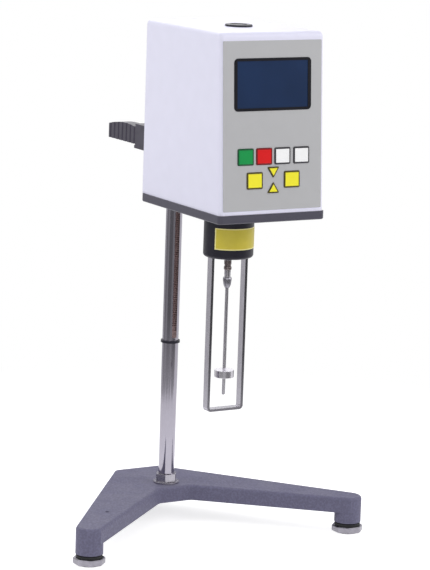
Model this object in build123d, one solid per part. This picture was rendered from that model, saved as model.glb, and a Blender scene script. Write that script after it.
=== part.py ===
"""Rotational viscometer: a measuring head carried on a rack column above a V-shaped levelling base.

Millimetres, +Z up, front towards -Y. Everything is laid out about the column's axis, and the finished
pieces are moved along Y by DATUM_Y, so that the origin lies on the bench under the middle of the whole.
"""

from build123d import *
import os
from math import acos, asin, atan2, cos, hypot, pi, radians, sin, tan

# ---- fits -------------------------------------------------------------------------------------------
SLIP = 0.05                 # radial clearance of a running or sliding fit
SEAT = 0.1                  # clearance between pieces that are screwed or clipped together
AIR = 0.5                   # gap between faces that pass each other

# ---- column -----------------------------------------------------------------------------------------
COLUMN_D = 16.0
COLUMN_TOP = 478.0
RACK_BOTTOM = 186.0
RACK_END_LAND = 8.0         # plain stretch at each end of the rack, where its screw sits
RACK_TOP_MARGIN = 10.0      # column left above the rack
RACK_WIDTH = 5.0
RACK_DEPTH = 3.4
RACK_SINK = 0.5             # how far the tooth tips lie under the column's surface
RACK_MODULE = 0.6
RACK_SCREW_D = 3.0
STOP_RING_OD = 19.0
STOP_RING_H = 2.5
STOP_RING_GAP = 2.8         # stop ring below the rack
WASHER_OD = 26.0
WASHER_H = 1.6
NUT_AF = 19.6
NUT_H = 8.0
LOCK_NUT_AF = 23.0
LOCK_NUT_H = 7.0

# ---- base casting -----------------------------------------------------------------------------------
BASE_TOP = 37.0
BASE_THICK = 15.6
BASE_WALL = 6.0
BASE_WEB = 7.0
BASE_EDGE_R = 3.0
BASE_REAR = 63.0            # rear edge behind the column
BASE_REAR_HALF = 28.0
BASE_REAR_R = 6.0
NOTCH_FRONT = 20.0          # front face of the bridge between the legs, in front of the column
NOTCH_HALF = 18.0
NOTCH_R = 9.0
HUB_R = 21.0
RIB_T = 4.0
RIB_ANGLE = 50.0
RIB_SHARES = (0.3, 0.55, 0.8)  # places along each leg
FOOT_X = 144.2
FOOT_Y = -114.6
REAR_FOOT_Y = 48.0
BOSS_R = 13.2
BOSS_BOTTOM = 10.6
GAUGE_HOLE_D = 4.5
GAUGE_HOLE_X = -106.3
GAUGE_HOLE_Y = -77.0
GAUGE_BOSS_R = 7.0

# ---- levelling feet ---------------------------------------------------------------------------------
FOOT_AF = 29.0              # across the disc's flats
FOOT_FLATS = 8
FOOT_CORNER_R = 3.0
FOOT_DISC_TOP = 6.8
FOOT_SHOULDER_D = 8.0       # collar on the stud that meets the boss when the foot is wound in
FOOT_STUD_D = 6.0
FOOT_STUD_TOP = 31.0
FOOT_PAD_D = 24.0
FOOT_PAD_H = 2.0
FOOT_PAD_PROUD = 0.8        # pad below the steel disc

# ---- lift carriage, pinion and brake ----------------------------------------------------------------
CARRIAGE_HALF_W = 17.0
CARRIAGE_FRONT = 34.0
CARRIAGE_REAR = 15.0
CARRIAGE_BOTTOM = 362.0
CARRIAGE_H = 50.0
CARRIAGE_R = 4.0
BUSH_OD = 20.0
BUSH_H = 12.0
PINION_TEETH = 26
PINION_Z = 376.0
PINION_SIDE_GAP = 0.4       # pinion's teeth to each side of the rack's groove
PINION_SHAFT_D = 6.0
PINION_SHAFT_IN = 12.0      # shaft's blind end left of the column's plane
LIFT_KNOB_D = 34.0
LIFT_KNOB_W = 14.0
LIFT_KNOB_GAP = 3.0
LIFT_KNOB_FLUTES = 12
LIFT_KNOB_FLUTE_R = 2.6
BRAKE_Z = 387.0
BRAKE_BARREL_R = 11.0
BRAKE_BARREL_END = 26.5
LEVER_FACE = 40.0           # outer face of the brake lever, left of the column
LEVER_T = 13.0
LEVER_HUB_HALF = 13.0
LEVER_HUB_H = 24.0
LEVER_REACH = 67.0
LEVER_TIP_H = 14.0
LEVER_ARM_DROP = 8.0        # underside of the arm below the pivot
LEVER_ARCH = 3.0
LEVER_RIBS = 7
LEVER_RIB_PITCH = 8.3
LEVER_GROOVE_R = 1.9
BRAKE_SCREW_D = 8.0
BRAKE_PAD_T = 1.6

# ---- mounting rod of the head -----------------------------------------------------------------------
ROD_D = 14.0
ROD_Z = 398.0
ROD_SOCKET_END = 12.0       # bottom of the socket, in front of the column's axis
CLAMP_Y = -24.0
CLAMP_SCREW_D = 6.0
CLAMP_KNOB_D = 16.0
CLAMP_KNOB_H = 9.0
CLAMP_FLUTES = 12
CLAMP_FLUTE_R = 1.2
BRACKET_T = 12.0
BRACKET_WALL = 6.0          # metal round the rod
BRACKET_FOOT = 8.0          # foot beyond the web on each side
BRACKET_FOOT_H = 6.0
EDGE_BREAK = 0.8            # chamfer that breaks a turned or machined edge

# ---- head -------------------------------------------------------------------------------------------
HEAD_W = 112.0
HEAD_D = 149.4
HEAD_H = 166.5
HEAD_REAR = 36.6            # rear face in front of the column's axis
HEAD_LEAN = 11.0            # how far the front face leans back over its height
HEAD_EDGE_R = 4.5
SHELL_T = 1.5
PLATE_Z = 330.7
PLATE_H = 8.0
PLATE_LIP = 1.0
PLATE_R = 4.0

# ---- front panel, along x and up the leaning face ---------------------------------------------------
PANEL_W = 105.0
PANEL_LOW = 3.5
PANEL_H = 156.0
PANEL_T = 0.6
PANEL_R = 1.0
DISPLAY_W = 82.2
DISPLAY_H = 48.3
DISPLAY_MID_H = 119.35
DISPLAY_R = 4.0
BEZEL_PROUD = 0.3
SCREEN_W = 75.5
SCREEN_H = 43.2
SCREEN_SINK = 0.5
KEY_W = 16.8
KEY_H = 15.2
KEY_R = 1.2
KEY_GAP = 0.3
KEY_PROUD = 0.8
KEY_TRAVEL = 0.5
KEY_FLANGE = 0.8
KEY_FLANGE_T = 1.2
KEY_STEM_D = 5.0
KEY_STEM_L = 1.2
TOP_ROW_H = 53.2            # centre of the upper row of keys
ROW_PITCH = 22.1
LOW_ROW_H = TOP_ROW_H - ROW_PITCH
KEY_PLACES = {
    "key_green": (-28.9, TOP_ROW_H),
    "key_red": (-9.2, TOP_ROW_H),
    "key_white_left": (10.4, TOP_ROW_H),
    "key_white_right": (30.8, TOP_ROW_H),
    "key_yellow_left": (-19.2, LOW_ROW_H),
    "key_yellow_right": (20.6, LOW_ROW_H),
}
ARROW_HALF = 6.3
ARROW_H = 10.0
ARROW_X = 0.6
ARROW_UNDER_ROW = 2.5       # arrow keys below the upper row
ARROW_SPREAD = 3.9          # between the two arrows' tips
ARROW_DOWN_BASE = TOP_ROW_H - KEY_H / 2 - ARROW_UNDER_ROW
ARROW_UP_BASE = ARROW_DOWN_BASE - 2 * ARROW_H - ARROW_SPREAD
KEYPAD_BOARD_INSET = 3.0    # keypad board's sides inside the panel's
KEYPAD_STUD_INSET = 4.0
KEYPAD_STUD_R = 2.5
KEYPAD_MARGIN = 7.0         # keypad board above and below its keys
SWITCH_DOME_R = 3.5
SWITCH_DOME_H = 0.6

# ---- spindle drive ----------------------------------------------------------------------------------
SPINDLE_Y = -108.0
SPINDLE_SHAFT_D = 4.0
COLLAR_D = 48.0
COLLAR_H = 45.2
COLLAR_R = 3.0
COLLAR_WALL = 6.0
COLLAR_FLOOR = 10.0
PIVOT_D = 14.0
PIVOT_FLANGE_D = 18.0
PIVOT_FLANGE_H = 2.0
GUARD_W = 39.4
GUARD_DEPTH = 8.5
GUARD_T = 2.6
GUARD_BOTTOM = 135.2
GUARD_R = 4.0
GUARD_GRIP = 16.0           # length of each leg inside the collar
COUPLING_D = 6.5
COUPLING_TOP = 281.5
COUPLING_BOTTOM = 255.0
SPINDLE_JOINT = 270.0       # where the measuring spindle meets the shaft, inside the coupling
SPINDLE_D = 3.3
SPINDLE_END = 150.4
DISC_D = 18.72
DISC_H = 6.9
DISC_Z = 171.3
GEAR_MODULE = 0.8
GEAR_TEETH = 64
MOTOR_TEETH = 16
GEAR_T = 4.0
GEAR_LIFT = 2.0             # gear above the motor plate
HUB_D = 12.0
HUB_BOTTOM_DROP = 18.0
MOTOR_D = 32.0
MOTOR_H = 26.0
MOTOR_BOSS_D = 10.0
MOTOR_SHAFT_D = 3.0
BEARING_D = 18.0
BEARING_FLANGE_D = 22.0
BEARING_FLANGE_H = 1.2
MOTOR_PLATE_LIFT = 35.3     # motor plate above the base plate
MOTOR_PLATE_T = 3.0
MOTOR_PLATE_W = 96.0
MOTOR_PLATE_D = 96.0
POST_D = 7.0
POST_INSET = 5.0
BOARD_T = 1.6
BOARD_LIFT = 40.0           # main board above the motor plate
CHIPS = (                   # place from the board's middle, then width, depth and height
    (0.0, 0.0, 22.0, 22.0, 2.5),
    (25.0, 18.0, 12.0, 8.0, 2.0),
    (-25.0, 20.0, 14.0, 10.0, 2.0),
    (22.0, -24.0, 8.0, 18.0, 6.0),
)
SUPPLY_H = 58.0
SUPPLY_D = 64.0
SUPPLY_FRONTWARD = 12.0     # middle of the supply board in front of the chassis' middle
COIL_W = 20.4               # transformer's body on the supply board
COIL_D = 32.0
COIL_H = 32.0
COIL_LIFT = 8.0
COIL_INSET = 4.0
CAPACITOR_R = 5.0
CAPACITOR_L = 16.4
CAPACITOR_BACK = 16.0       # capacitors behind the supply board's middle
CAPACITOR_LIFT = 16.0
CAPACITOR_PITCH = 14.0
SPRING_TURNS = 3
SPRING_PITCH = 1.3
SPRING_T = 0.4
SPRING_H = 2.0
COLLET_D = 7.0
ENCODER_D = 40.0
ENCODER_T = 1.0
ENCODER_LIFT = 5.0          # disc above the drive gear
ENCODER_SLOTS = 12

# ---- level and rear fittings ------------------------------------------------------------------------
LEVEL_Y = -113.0
LEVEL_D = 26.0
LEVEL_H = 1.8
VIAL_D = 19.0
VIAL_H = 7.0
REAR_FIT_Z = 452.0
SWITCH_X = 31.0
SWITCH_W = 15.0
SWITCH_H = 21.0
INLET_X = -22.0
INLET_W = 28.0
INLET_H = 22.0
PORT_X = 8.0
PORT_W = 31.0
PORT_H = 12.5
PORT_Z = 476.0
FIT_FLANGE = 2.0
FIT_FLANGE_T = 2.0
FIT_DEPTH = 22.0
INLET_WALL_X = 2.0
INLET_WALL_Z = 3.0
INLET_FLOOR = 4.0
INLET_BLADES = ((-7.0, -2.0), (0.0, 2.0), (7.0, -2.0))  # x and z from the inlet's middle
BLADE_W = 2.0
BLADE_H = 4.0
BLADE_SINK = 2.0            # blades' ends inside the rear panel's face
PORT_EAR = 4.0              # flange beyond the port's body on each side
PORT_BODY_DEPTH = 8.0
PORT_FLANGE_T = 0.8
PORT_SHELL_EAR = 6.0        # flange beyond the metal shell on each side
PORT_SHELL_EDGE = 2.0
PORT_SHELL_PROUD = 3.0
PORT_SHELL_R = 2.0
SWITCH_WALL = 1.5
SWITCH_END = 2.0            # wall at the switch's two ends
ROCKER_SINK = 8.0           # depth of the room the rocker tips in
ROCKER_AXIS_IN = 2.0        # pivot inside the rear panel's outer face
ROCKER_TILT = -7.0          # rest position; the other one is the same tilt the other way
ROCKER_GAP = 0.9            # rocker's ends to the room's ends, which its tips swing through
ROCKER_RISE = 2.0           # rocker's tips outside the flange
ROCKER_DISH = 1.4
ROCKER_FOOT_HALF = 2.5
ROCKER_FOOT_IN = 4.0
ROCKER_TAPER = 0.6
ROCKER_PIN_R = 1.2
ROCKER_PIN_L = 0.8          # pin beyond the rocker's side
SCREW_D = 3.0
SCREW_HEAD_D = 5.6
SCREW_HEAD_H = 1.8

# ---- worked out from the sizes above ----------------------------------------------------------------
DATUM_Y = (HEAD_REAR + HEAD_D + PLATE_LIP - LEVER_REACH) / 2
COLUMN_R = COLUMN_D / 2
BASE_UNDER = BASE_TOP - BASE_THICK
PLATE_TOP = PLATE_Z + PLATE_H
HEAD_TOP = PLATE_TOP + HEAD_H
HEAD_FRONT = HEAD_REAR + HEAD_D
RACK_TOP = COLUMN_TOP - RACK_TOP_MARGIN
RACK_TIP_Y = -(COLUMN_R - RACK_SINK)
RACK_PITCH_Y = RACK_TIP_Y + RACK_MODULE
PINION_Y = RACK_PITCH_Y - RACK_MODULE * PINION_TEETH / 2
PINION_TIP_R = RACK_MODULE * (PINION_TEETH / 2 + 1)
PINION_W = RACK_WIDTH - 2 * PINION_SIDE_GAP
CARRIAGE_TOP = CARRIAGE_BOTTOM + CARRIAGE_H
MOTOR_PLATE_Z = PLATE_TOP + MOTOR_PLATE_LIFT
MOTOR_PLATE_TOP = MOTOR_PLATE_Z + MOTOR_PLATE_T
GEAR_Z = MOTOR_PLATE_TOP + GEAR_LIFT
GEAR_CENTRES = GEAR_MODULE * (GEAR_TEETH + MOTOR_TEETH) / 2
MOTOR_Y = SPINDLE_Y + GEAR_CENTRES
BOARD_Z = MOTOR_PLATE_TOP + BOARD_LIFT
COLLAR_BOTTOM = PLATE_Z - COLLAR_H
FACE = Plane(
    origin=(0, -HEAD_FRONT, PLATE_TOP),
    x_dir=(1, 0, 0),
    z_dir=(0, -HEAD_H, HEAD_LEAN),
)


# ---- small builders ---------------------------------------------------------------------------------
def block(x, y, z):
    """Box between the two numbers given along each axis."""
    size = [max(pair) - min(pair) for pair in (x, y, z)]
    middle = [(pair[0] + pair[1]) / 2 for pair in (x, y, z)]
    return Pos(*middle) * Box(*size)


def upright(radius, low, high, x=0.0, y=0.0):
    """Vertical cylinder."""
    return Pos(x, y, (low + high) / 2) * Cylinder(radius, abs(high - low))


def across(radius, left, right, y, z):
    """Cylinder along X."""
    return Pos((left + right) / 2, y, z) * Rot(0, 90, 0) * Cylinder(radius, abs(right - left))


def fore_aft(radius, front, back, x, z):
    """Cylinder along Y."""
    return Pos(x, (front + back) / 2, z) * Rot(90, 0, 0) * Cylinder(radius, abs(back - front))


def prism(sketch, low, high):
    """A plan sketch raised between two heights."""
    return extrude(Pos(0, 0, low) * sketch, amount=high - low)


def on_face(sketch, x, h, back, front):
    """A sketch placed on the leaning front face and raised along its normal."""
    return extrude(FACE * Pos(x, h, back) * sketch, amount=front - back)


def hexagon(across_flats):
    return RegularPolygon(across_flats / 2, 6, major_radius=False)


def ring(outer_d, inner_r, low, high, y=0.0):
    return upright(outer_d / 2, low, high, y=y) - upright(inner_r, low, high, y=y)


def gear_sketch(module, teeth, backlash):
    """Spur gear outline with involute flanks; a tooth's middle points along +X."""
    pitch_r = module * teeth / 2
    base_r = pitch_r * cos(radians(20))
    tip_r, root_r = pitch_r + module, pitch_r - 1.25 * module
    start_r = max(base_r, root_r)
    half_pitch = pi / (2 * teeth) - backlash / (2 * pitch_r)

    def flank(radius):
        """Half the tooth's angle at this radius."""
        return half_pitch + involute(acos(base_r / pitch_r)) - involute(acos(base_r / radius))

    radii = [start_r + (tip_r - start_r) * step / 3 for step in range(4)]
    half = [(r, flank(r)) for r in radii]
    if start_r > root_r:
        half.insert(0, (root_r, flank(start_r)))
    points = []
    for tooth in range(teeth):
        middle = 2 * pi * tooth / teeth
        sides = [(r, middle - a) for r, a in half] + [(r, middle + a) for r, a in reversed(half)]
        points += [(r * cos(a), r * sin(a)) for r, a in sides]
    return make_face(Polyline(*points, close=True))


def involute(angle):
    return tan(angle) - angle


# ---- base and column --------------------------------------------------------------------------------
def inner_edge_far(reach):
    """A point of the right leg's inner edge, which leaves the notch's corner and grazes the boss."""
    dx, dy = FOOT_X - NOTCH_HALF, FOOT_Y + NOTCH_FRONT
    angle = atan2(dy, dx) - asin(BOSS_R / hypot(dx, dy))
    return NOTCH_HALF + reach * cos(angle), -NOTCH_FRONT + reach * sin(angle)


def base_outline():
    """Plan of the casting: a V with a cut-off point at the rear and a round end on each leg."""
    rounds = Sketch() + [
        Pos(side * (BASE_REAR_HALF - BASE_REAR_R), BASE_REAR - BASE_REAR_R) * Circle(BASE_REAR_R)
        for side in (-1, 1)
    ]
    rounds += [Pos(side * FOOT_X, FOOT_Y) * Circle(BOSS_R) for side in (-1, 1)]
    far_x, far_y = inner_edge_far(2 * FOOT_X)
    notch = Polygon(
        (-NOTCH_HALF, -NOTCH_FRONT), (NOTCH_HALF, -NOTCH_FRONT), (far_x, far_y), (-far_x, far_y),
        align=None,
    )
    corners = notch.vertices().sort_by(Axis.Y)[-2:]
    return make_hull(rounds.edges()) - fillet(corners, NOTCH_R)


def foot_places():
    return {"left": (-FOOT_X, FOOT_Y), "right": (FOOT_X, FOOT_Y), "rear": (0, REAR_FOOT_Y)}


def base_casting():
    outline = base_outline()
    casting = prism(outline, BASE_UNDER, BASE_TOP)
    top = casting.faces().sort_by(Axis.Z)[-1]
    casting = fillet(top.edges(), BASE_EDGE_R)

    pocket = prism(offset(outline, -BASE_WALL), BASE_UNDER, BASE_TOP - BASE_WEB)
    pocket -= upright(HUB_R, 0, BASE_TOP)
    pocket -= upright(GAUGE_BOSS_R, 0, BASE_TOP, GAUGE_HOLE_X, GAUGE_HOLE_Y)
    for x, y in foot_places().values():
        pocket -= upright(BOSS_R, 0, BASE_TOP, x, y)
    for side in (-1, 1):
        for share in RIB_SHARES:
            middle = Pos(side * FOOT_X * share, FOOT_Y * share + NOTCH_FRONT, BASE_UNDER)
            pocket -= middle * Rot(0, 0, side * RIB_ANGLE) * Box(RIB_T, 4 * HUB_R, 2 * BASE_THICK)
    casting -= pocket

    for x, y in foot_places().values():
        casting += upright(BOSS_R, BOSS_BOTTOM, BASE_TOP - BASE_WEB, x, y)
        casting -= upright(FOOT_STUD_D / 2 + SLIP, BOSS_BOTTOM, FOOT_STUD_TOP + 1, x, y)
    casting -= upright(COLUMN_R + SLIP, BASE_UNDER, BASE_TOP)
    casting -= prism(hexagon(LOCK_NUT_AF + 4), BASE_UNDER, lock_nut_top())
    casting -= upright(GAUGE_HOLE_D / 2, BASE_UNDER, BASE_TOP, GAUGE_HOLE_X, GAUGE_HOLE_Y)
    return casting


def lock_nut_top():
    return BASE_TOP - BASE_WEB


def column():
    shaft = upright(COLUMN_R, lock_nut_top() - LOCK_NUT_H, COLUMN_TOP)
    shaft = chamfer(shaft.edges().sort_by(Axis.Z)[-1], 1)
    half = RACK_WIDTH / 2
    floor = RACK_TIP_Y + RACK_DEPTH
    shaft -= block((-half, half), (-2 * COLUMN_R, floor), (RACK_BOTTOM, RACK_TOP))
    for z in rack_screw_heights():
        shaft -= fore_aft(RACK_SCREW_D / 2, floor, 0, 0, z)
    return shaft


def rack_screw_heights():
    return RACK_BOTTOM + RACK_END_LAND / 2, RACK_TOP - RACK_END_LAND / 2


def column_rack():
    """Rack with 20 degree flanks, its teeth towards the front, phased to the pinion at rest."""
    pitch = pi * RACK_MODULE
    root_y = RACK_PITCH_Y + 1.25 * RACK_MODULE
    back_y = RACK_TIP_Y + RACK_DEPTH
    slope = tan(radians(20))
    low, high = RACK_BOTTOM + RACK_END_LAND, RACK_TOP - RACK_END_LAND
    first = int((low - PINION_Z) / pitch) + 1
    last = int((high - PINION_Z) / pitch) - 1
    half_tip = pitch / 4 - RACK_MODULE * slope - rack_backlash() / 2
    half_root = pitch / 4 + 1.25 * RACK_MODULE * slope - rack_backlash() / 2
    front = [(RACK_TIP_Y, RACK_BOTTOM), (RACK_TIP_Y, low - 1), (root_y, low - 1)]
    for index in range(first, last):
        middle = PINION_Z + (index + 0.5) * pitch
        front += [(root_y, middle - half_root), (RACK_TIP_Y, middle - half_tip)]
        front += [(RACK_TIP_Y, middle + half_tip), (root_y, middle + half_root)]
    front += [(root_y, high + 1), (RACK_TIP_Y, high + 1), (RACK_TIP_Y, RACK_TOP)]
    outline = Polyline(*front, (back_y, RACK_TOP), (back_y, RACK_BOTTOM), close=True)
    half = RACK_WIDTH / 2 - SEAT / 2
    rack = extrude(Plane.YZ.offset(-half) * make_face(outline), amount=2 * half)
    for z in rack_screw_heights():
        rack -= fore_aft(RACK_SCREW_D / 2 + SLIP, RACK_TIP_Y, back_y, 0, z)
    return rack


def rack_backlash():
    return 0.12 * RACK_MODULE


def rack_screws():
    """Countersunk-style screws whose ends finish flush with the rack's tips."""
    return Compound([
        fore_aft(RACK_SCREW_D / 2 - SLIP, RACK_TIP_Y + SEAT, -SEAT, 0, z) for z in rack_screw_heights()
    ])


def stop_ring():
    top = RACK_BOTTOM - STOP_RING_GAP
    return ring(STOP_RING_OD, COLUMN_R + SLIP, top - STOP_RING_H, top)


def column_washer():
    return ring(WASHER_OD, COLUMN_R + SLIP, BASE_TOP, BASE_TOP + WASHER_H)


def column_nut():
    low = BASE_TOP + WASHER_H
    nut = prism(hexagon(NUT_AF), low, low + NUT_H)
    nut &= upright(NUT_AF / 2 * 1.12, low, low + NUT_H)
    return nut - upright(COLUMN_R + SLIP, low, low + NUT_H)


def lock_nut():
    high = lock_nut_top()
    nut = prism(hexagon(LOCK_NUT_AF), high - LOCK_NUT_H, high)
    return nut - upright(COLUMN_R + SLIP, high - LOCK_NUT_H, high)


# ---- levelling feet ---------------------------------------------------------------------------------
def foot_pad(place):
    x, y = place
    return upright(FOOT_PAD_D / 2, 0, FOOT_PAD_H, x, y)


def levelling_foot(place):
    """Eight-sided disc with a shouldered stud, recessed underneath for the rubber pad."""
    x, y = place
    plan = RegularPolygon(FOOT_AF / 2, FOOT_FLATS, major_radius=False, rotation=180 / FOOT_FLATS)
    disc = prism(fillet(plan.vertices(), FOOT_CORNER_R), FOOT_PAD_PROUD, FOOT_DISC_TOP)
    levels = disc.faces().sort_by(Axis.Z)
    disc = chamfer(levels[0].edges() + levels[-1].edges(), EDGE_BREAK)
    disc -= upright(FOOT_PAD_D / 2 + SLIP, 0, FOOT_PAD_H)
    stud = upright(FOOT_STUD_D / 2, FOOT_PAD_H, FOOT_STUD_TOP)
    stud = chamfer(stud.edges().sort_by(Axis.Z)[-1], EDGE_BREAK)
    shoulder = upright(FOOT_SHOULDER_D / 2, FOOT_PAD_H, BOSS_BOTTOM - SEAT)
    return Pos(x, y) * (disc + stud + shoulder)


# ---- lift carriage ----------------------------------------------------------------------------------
def lift_carriage():
    """Black block that slides on the column and holds the pinion, the brake and the head's rod."""
    body = block(
        (-CARRIAGE_HALF_W, CARRIAGE_HALF_W),
        (-CARRIAGE_FRONT, CARRIAGE_REAR),
        (CARRIAGE_BOTTOM, CARRIAGE_TOP),
    )
    body = fillet(body.edges().filter_by(Axis.Z), CARRIAGE_R)
    body += across(BRAKE_BARREL_R, -BRAKE_BARREL_END, -CARRIAGE_HALF_W + CARRIAGE_R, 0, BRAKE_Z)
    body -= upright(BUSH_OD / 2 + SLIP, CARRIAGE_BOTTOM, CARRIAGE_TOP)
    half = PINION_W / 2 + AIR
    body -= across(PINION_TIP_R + AIR, -half, half, PINION_Y, PINION_Z)
    shaft_hole = PINION_SHAFT_D / 2 + SLIP
    body -= across(shaft_hole, -PINION_SHAFT_IN - AIR, CARRIAGE_HALF_W, PINION_Y, PINION_Z)
    body -= across(BRAKE_SCREW_D / 2 + SLIP, -BRAKE_BARREL_END, 0, 0, BRAKE_Z)
    body -= fore_aft(ROD_D / 2 + SLIP, -CARRIAGE_FRONT, -ROD_SOCKET_END, 0, ROD_Z)
    body -= upright(CLAMP_SCREW_D / 2 + SLIP, ROD_Z, CARRIAGE_TOP, y=CLAMP_Y)
    return body


def slide_bushes():
    """Two plastic sleeves, at the carriage's top and bottom, that run on the column."""
    lows = (CARRIAGE_BOTTOM, CARRIAGE_TOP - BUSH_H)
    pinion_room = across(PINION_TIP_R + AIR, -BUSH_OD, BUSH_OD, PINION_Y, PINION_Z)
    return Compound([
        ring(BUSH_OD, COLUMN_R + SLIP, low, low + BUSH_H) - pinion_room for low in lows
    ])


def lift_pinion():
    """Pinion cut on its shaft: one of its teeth points straight at a gap of the rack at rest."""
    middle = Plane(origin=(0, PINION_Y, PINION_Z), x_dir=(0, 1, 0), z_dir=(1, 0, 0))
    gear = gear_sketch(RACK_MODULE, PINION_TEETH, rack_backlash())
    wheel = extrude(middle * gear, amount=PINION_W / 2, both=True)
    end = CARRIAGE_HALF_W + LIFT_KNOB_GAP + LIFT_KNOB_W - 2
    return wheel + across(PINION_SHAFT_D / 2, -PINION_SHAFT_IN, end, PINION_Y, PINION_Z)


def lift_knob():
    left = CARRIAGE_HALF_W + LIFT_KNOB_GAP
    right = left + LIFT_KNOB_W
    knob = across(LIFT_KNOB_D / 2, left, right, 0, 0)
    knob = fillet(knob.edges().filter_by(GeomType.CIRCLE), 1.5)
    flute = across(LIFT_KNOB_FLUTE_R, left - 1, right + 1, LIFT_KNOB_D / 2 + LIFT_KNOB_FLUTE_R / 2, 0)
    for index in range(LIFT_KNOB_FLUTES):
        knob -= Rot(360 * index / LIFT_KNOB_FLUTES, 0, 0) * flute
    knob += across(PINION_SHAFT_D, CARRIAGE_HALF_W + AIR, left, 0, 0)
    knob -= across(PINION_SHAFT_D / 2 + SLIP, CARRIAGE_HALF_W, right - 2, 0, 0)
    return Pos(0, PINION_Y, PINION_Z) * knob


def brake_lever():
    """Hub block on its clamping stud, with a ribbed arm to the rear that arches along its top."""
    inner = -LEVER_FACE + LEVER_T
    top = BRAKE_Z + LEVER_HUB_H / 2
    under = BRAKE_Z - LEVER_ARM_DROP
    hub = block(
        (-LEVER_FACE, inner), (-LEVER_HUB_HALF, LEVER_HUB_HALF), (top - LEVER_HUB_H, top)
    )
    shoulder, tip_top = top - LEVER_ARCH, under + LEVER_TIP_H
    middle = (LEVER_HUB_HALF + LEVER_REACH) / 2
    side = Polyline(
        (LEVER_HUB_HALF, shoulder), (LEVER_HUB_HALF, under), (LEVER_REACH, under), (LEVER_REACH, tip_top)
    )
    arch = ThreePointArc((LEVER_REACH, tip_top), (middle, shoulder + 1), (LEVER_HUB_HALF, shoulder))
    arm = extrude(Plane.YZ.offset(-LEVER_FACE) * make_face([*side.edges(), arch.edge()]), amount=LEVER_T)
    lever = hub + arm
    for index in range(LEVER_RIBS):
        y = LEVER_REACH - (index + 0.5) * LEVER_RIB_PITCH
        groove = upright(LEVER_GROOVE_R, under - 1, top + 1, -LEVER_FACE - LEVER_GROOVE_R / 2, y)
        low = under if y > LEVER_HUB_HALF else BRAKE_Z + LEVER_HUB_H / 6
        lever -= groove & block((-2 * LEVER_FACE, 0), (0, 2 * LEVER_REACH), (low - 1, top + 1))
    stud_tip = -COLUMN_R - BRAKE_PAD_T - 2 * SEAT
    return lever + across(BRAKE_SCREW_D / 2, -LEVER_FACE + LEVER_T / 2, stud_tip, 0, BRAKE_Z)


def brake_pad():
    """Nylon plug between the lever's stud and the column, hollowed to the column's curve."""
    outer = -COLUMN_R - BRAKE_PAD_T - SEAT
    pad = across(BRAKE_SCREW_D / 2, outer, -COLUMN_R / 2, 0, BRAKE_Z)
    return pad - upright(COLUMN_R + SLIP, CARRIAGE_BOTTOM, CARRIAGE_TOP)


def clamp_screw():
    """Thumb screw on top of the carriage that holds the head's rod."""
    low = ROD_Z + ROD_D / 2 + SEAT
    knob_low = CARRIAGE_TOP + AIR
    knob = upright(CLAMP_KNOB_D / 2, knob_low, knob_low + CLAMP_KNOB_H)
    knob = chamfer(knob.edges().filter_by(GeomType.CIRCLE), EDGE_BREAK)
    flute = upright(CLAMP_FLUTE_R, CARRIAGE_TOP, HEAD_TOP)
    knob -= PolarLocations(CLAMP_KNOB_D / 2 + CLAMP_FLUTE_R / 2, CLAMP_FLUTES) * flute
    return Pos(0, CLAMP_Y) * (knob + upright(CLAMP_SCREW_D / 2, low, knob_low + EDGE_BREAK))


# ---- head: frame and covers -------------------------------------------------------------------------
def mounting_rod():
    """Rod from the bracket inside the head into the carriage's socket."""
    front = bracket_rear() - BRACKET_T
    rod = fore_aft(ROD_D / 2, front, -ROD_SOCKET_END - AIR, 0, ROD_Z)
    return chamfer(rod.edges().sort_by(Axis.Y)[-1], 1)


def bracket_rear():
    return -HEAD_REAR - SHELL_T - SEAT


def rod_bracket():
    """Cast bracket that carries the rod on the base plate."""
    rear = bracket_rear()
    front = rear - BRACKET_T
    boss_r = ROD_D / 2 + BRACKET_WALL
    web = block((-boss_r, boss_r), (front, rear), (PLATE_TOP, ROD_Z))
    web += fore_aft(boss_r, front, rear, 0, ROD_Z)
    half = boss_r + BRACKET_FOOT
    web += block((-half, half), (front, rear), (PLATE_TOP, PLATE_TOP + BRACKET_FOOT_H))
    return web - fore_aft(ROD_D / 2 + SLIP, front, rear, 0, ROD_Z)


def base_plate():
    half = HEAD_W / 2 + PLATE_LIP
    plate = block(
        (-half, half), (-HEAD_FRONT - PLATE_LIP, -HEAD_REAR + PLATE_LIP), (PLATE_Z, PLATE_TOP)
    )
    plate = fillet(plate.edges().filter_by(Axis.Z), PLATE_R)
    plate = chamfer(plate.faces().sort_by(Axis.Z)[0].edges(), EDGE_BREAK)
    return plate - upright(COLLAR_D / 2 - COLLAR_WALL, PLATE_Z, PLATE_TOP, y=SPINDLE_Y)


def head_form(inset, rear, low):
    """The head's outer form, or the room inside it: a box whose front face leans back."""
    lean = HEAD_LEAN / HEAD_H
    top = HEAD_TOP - inset
    front_low = -HEAD_FRONT + inset + (low - PLATE_TOP) * lean
    front_top = -HEAD_FRONT + inset + (top - PLATE_TOP) * lean
    side = Polyline((rear, low), (front_low, low), (front_top, top), (rear, top), close=True)
    half = HEAD_W / 2 - inset
    form = extrude(Plane.YZ.offset(-half) * make_face(side), amount=2 * half)
    upper = form.faces().sort_by(Axis.Z)[-1]
    front = form.faces().sort_by(Axis.Y)[0]
    rounded = [e for e in (form.edges()) if e in front.edges() and abs(e.center().Z - low) > 1]
    rounded += [e for e in upper.edges() if abs(e.center().X) > half / 2]
    return fillet(rounded, HEAD_EDGE_R - inset)


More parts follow.
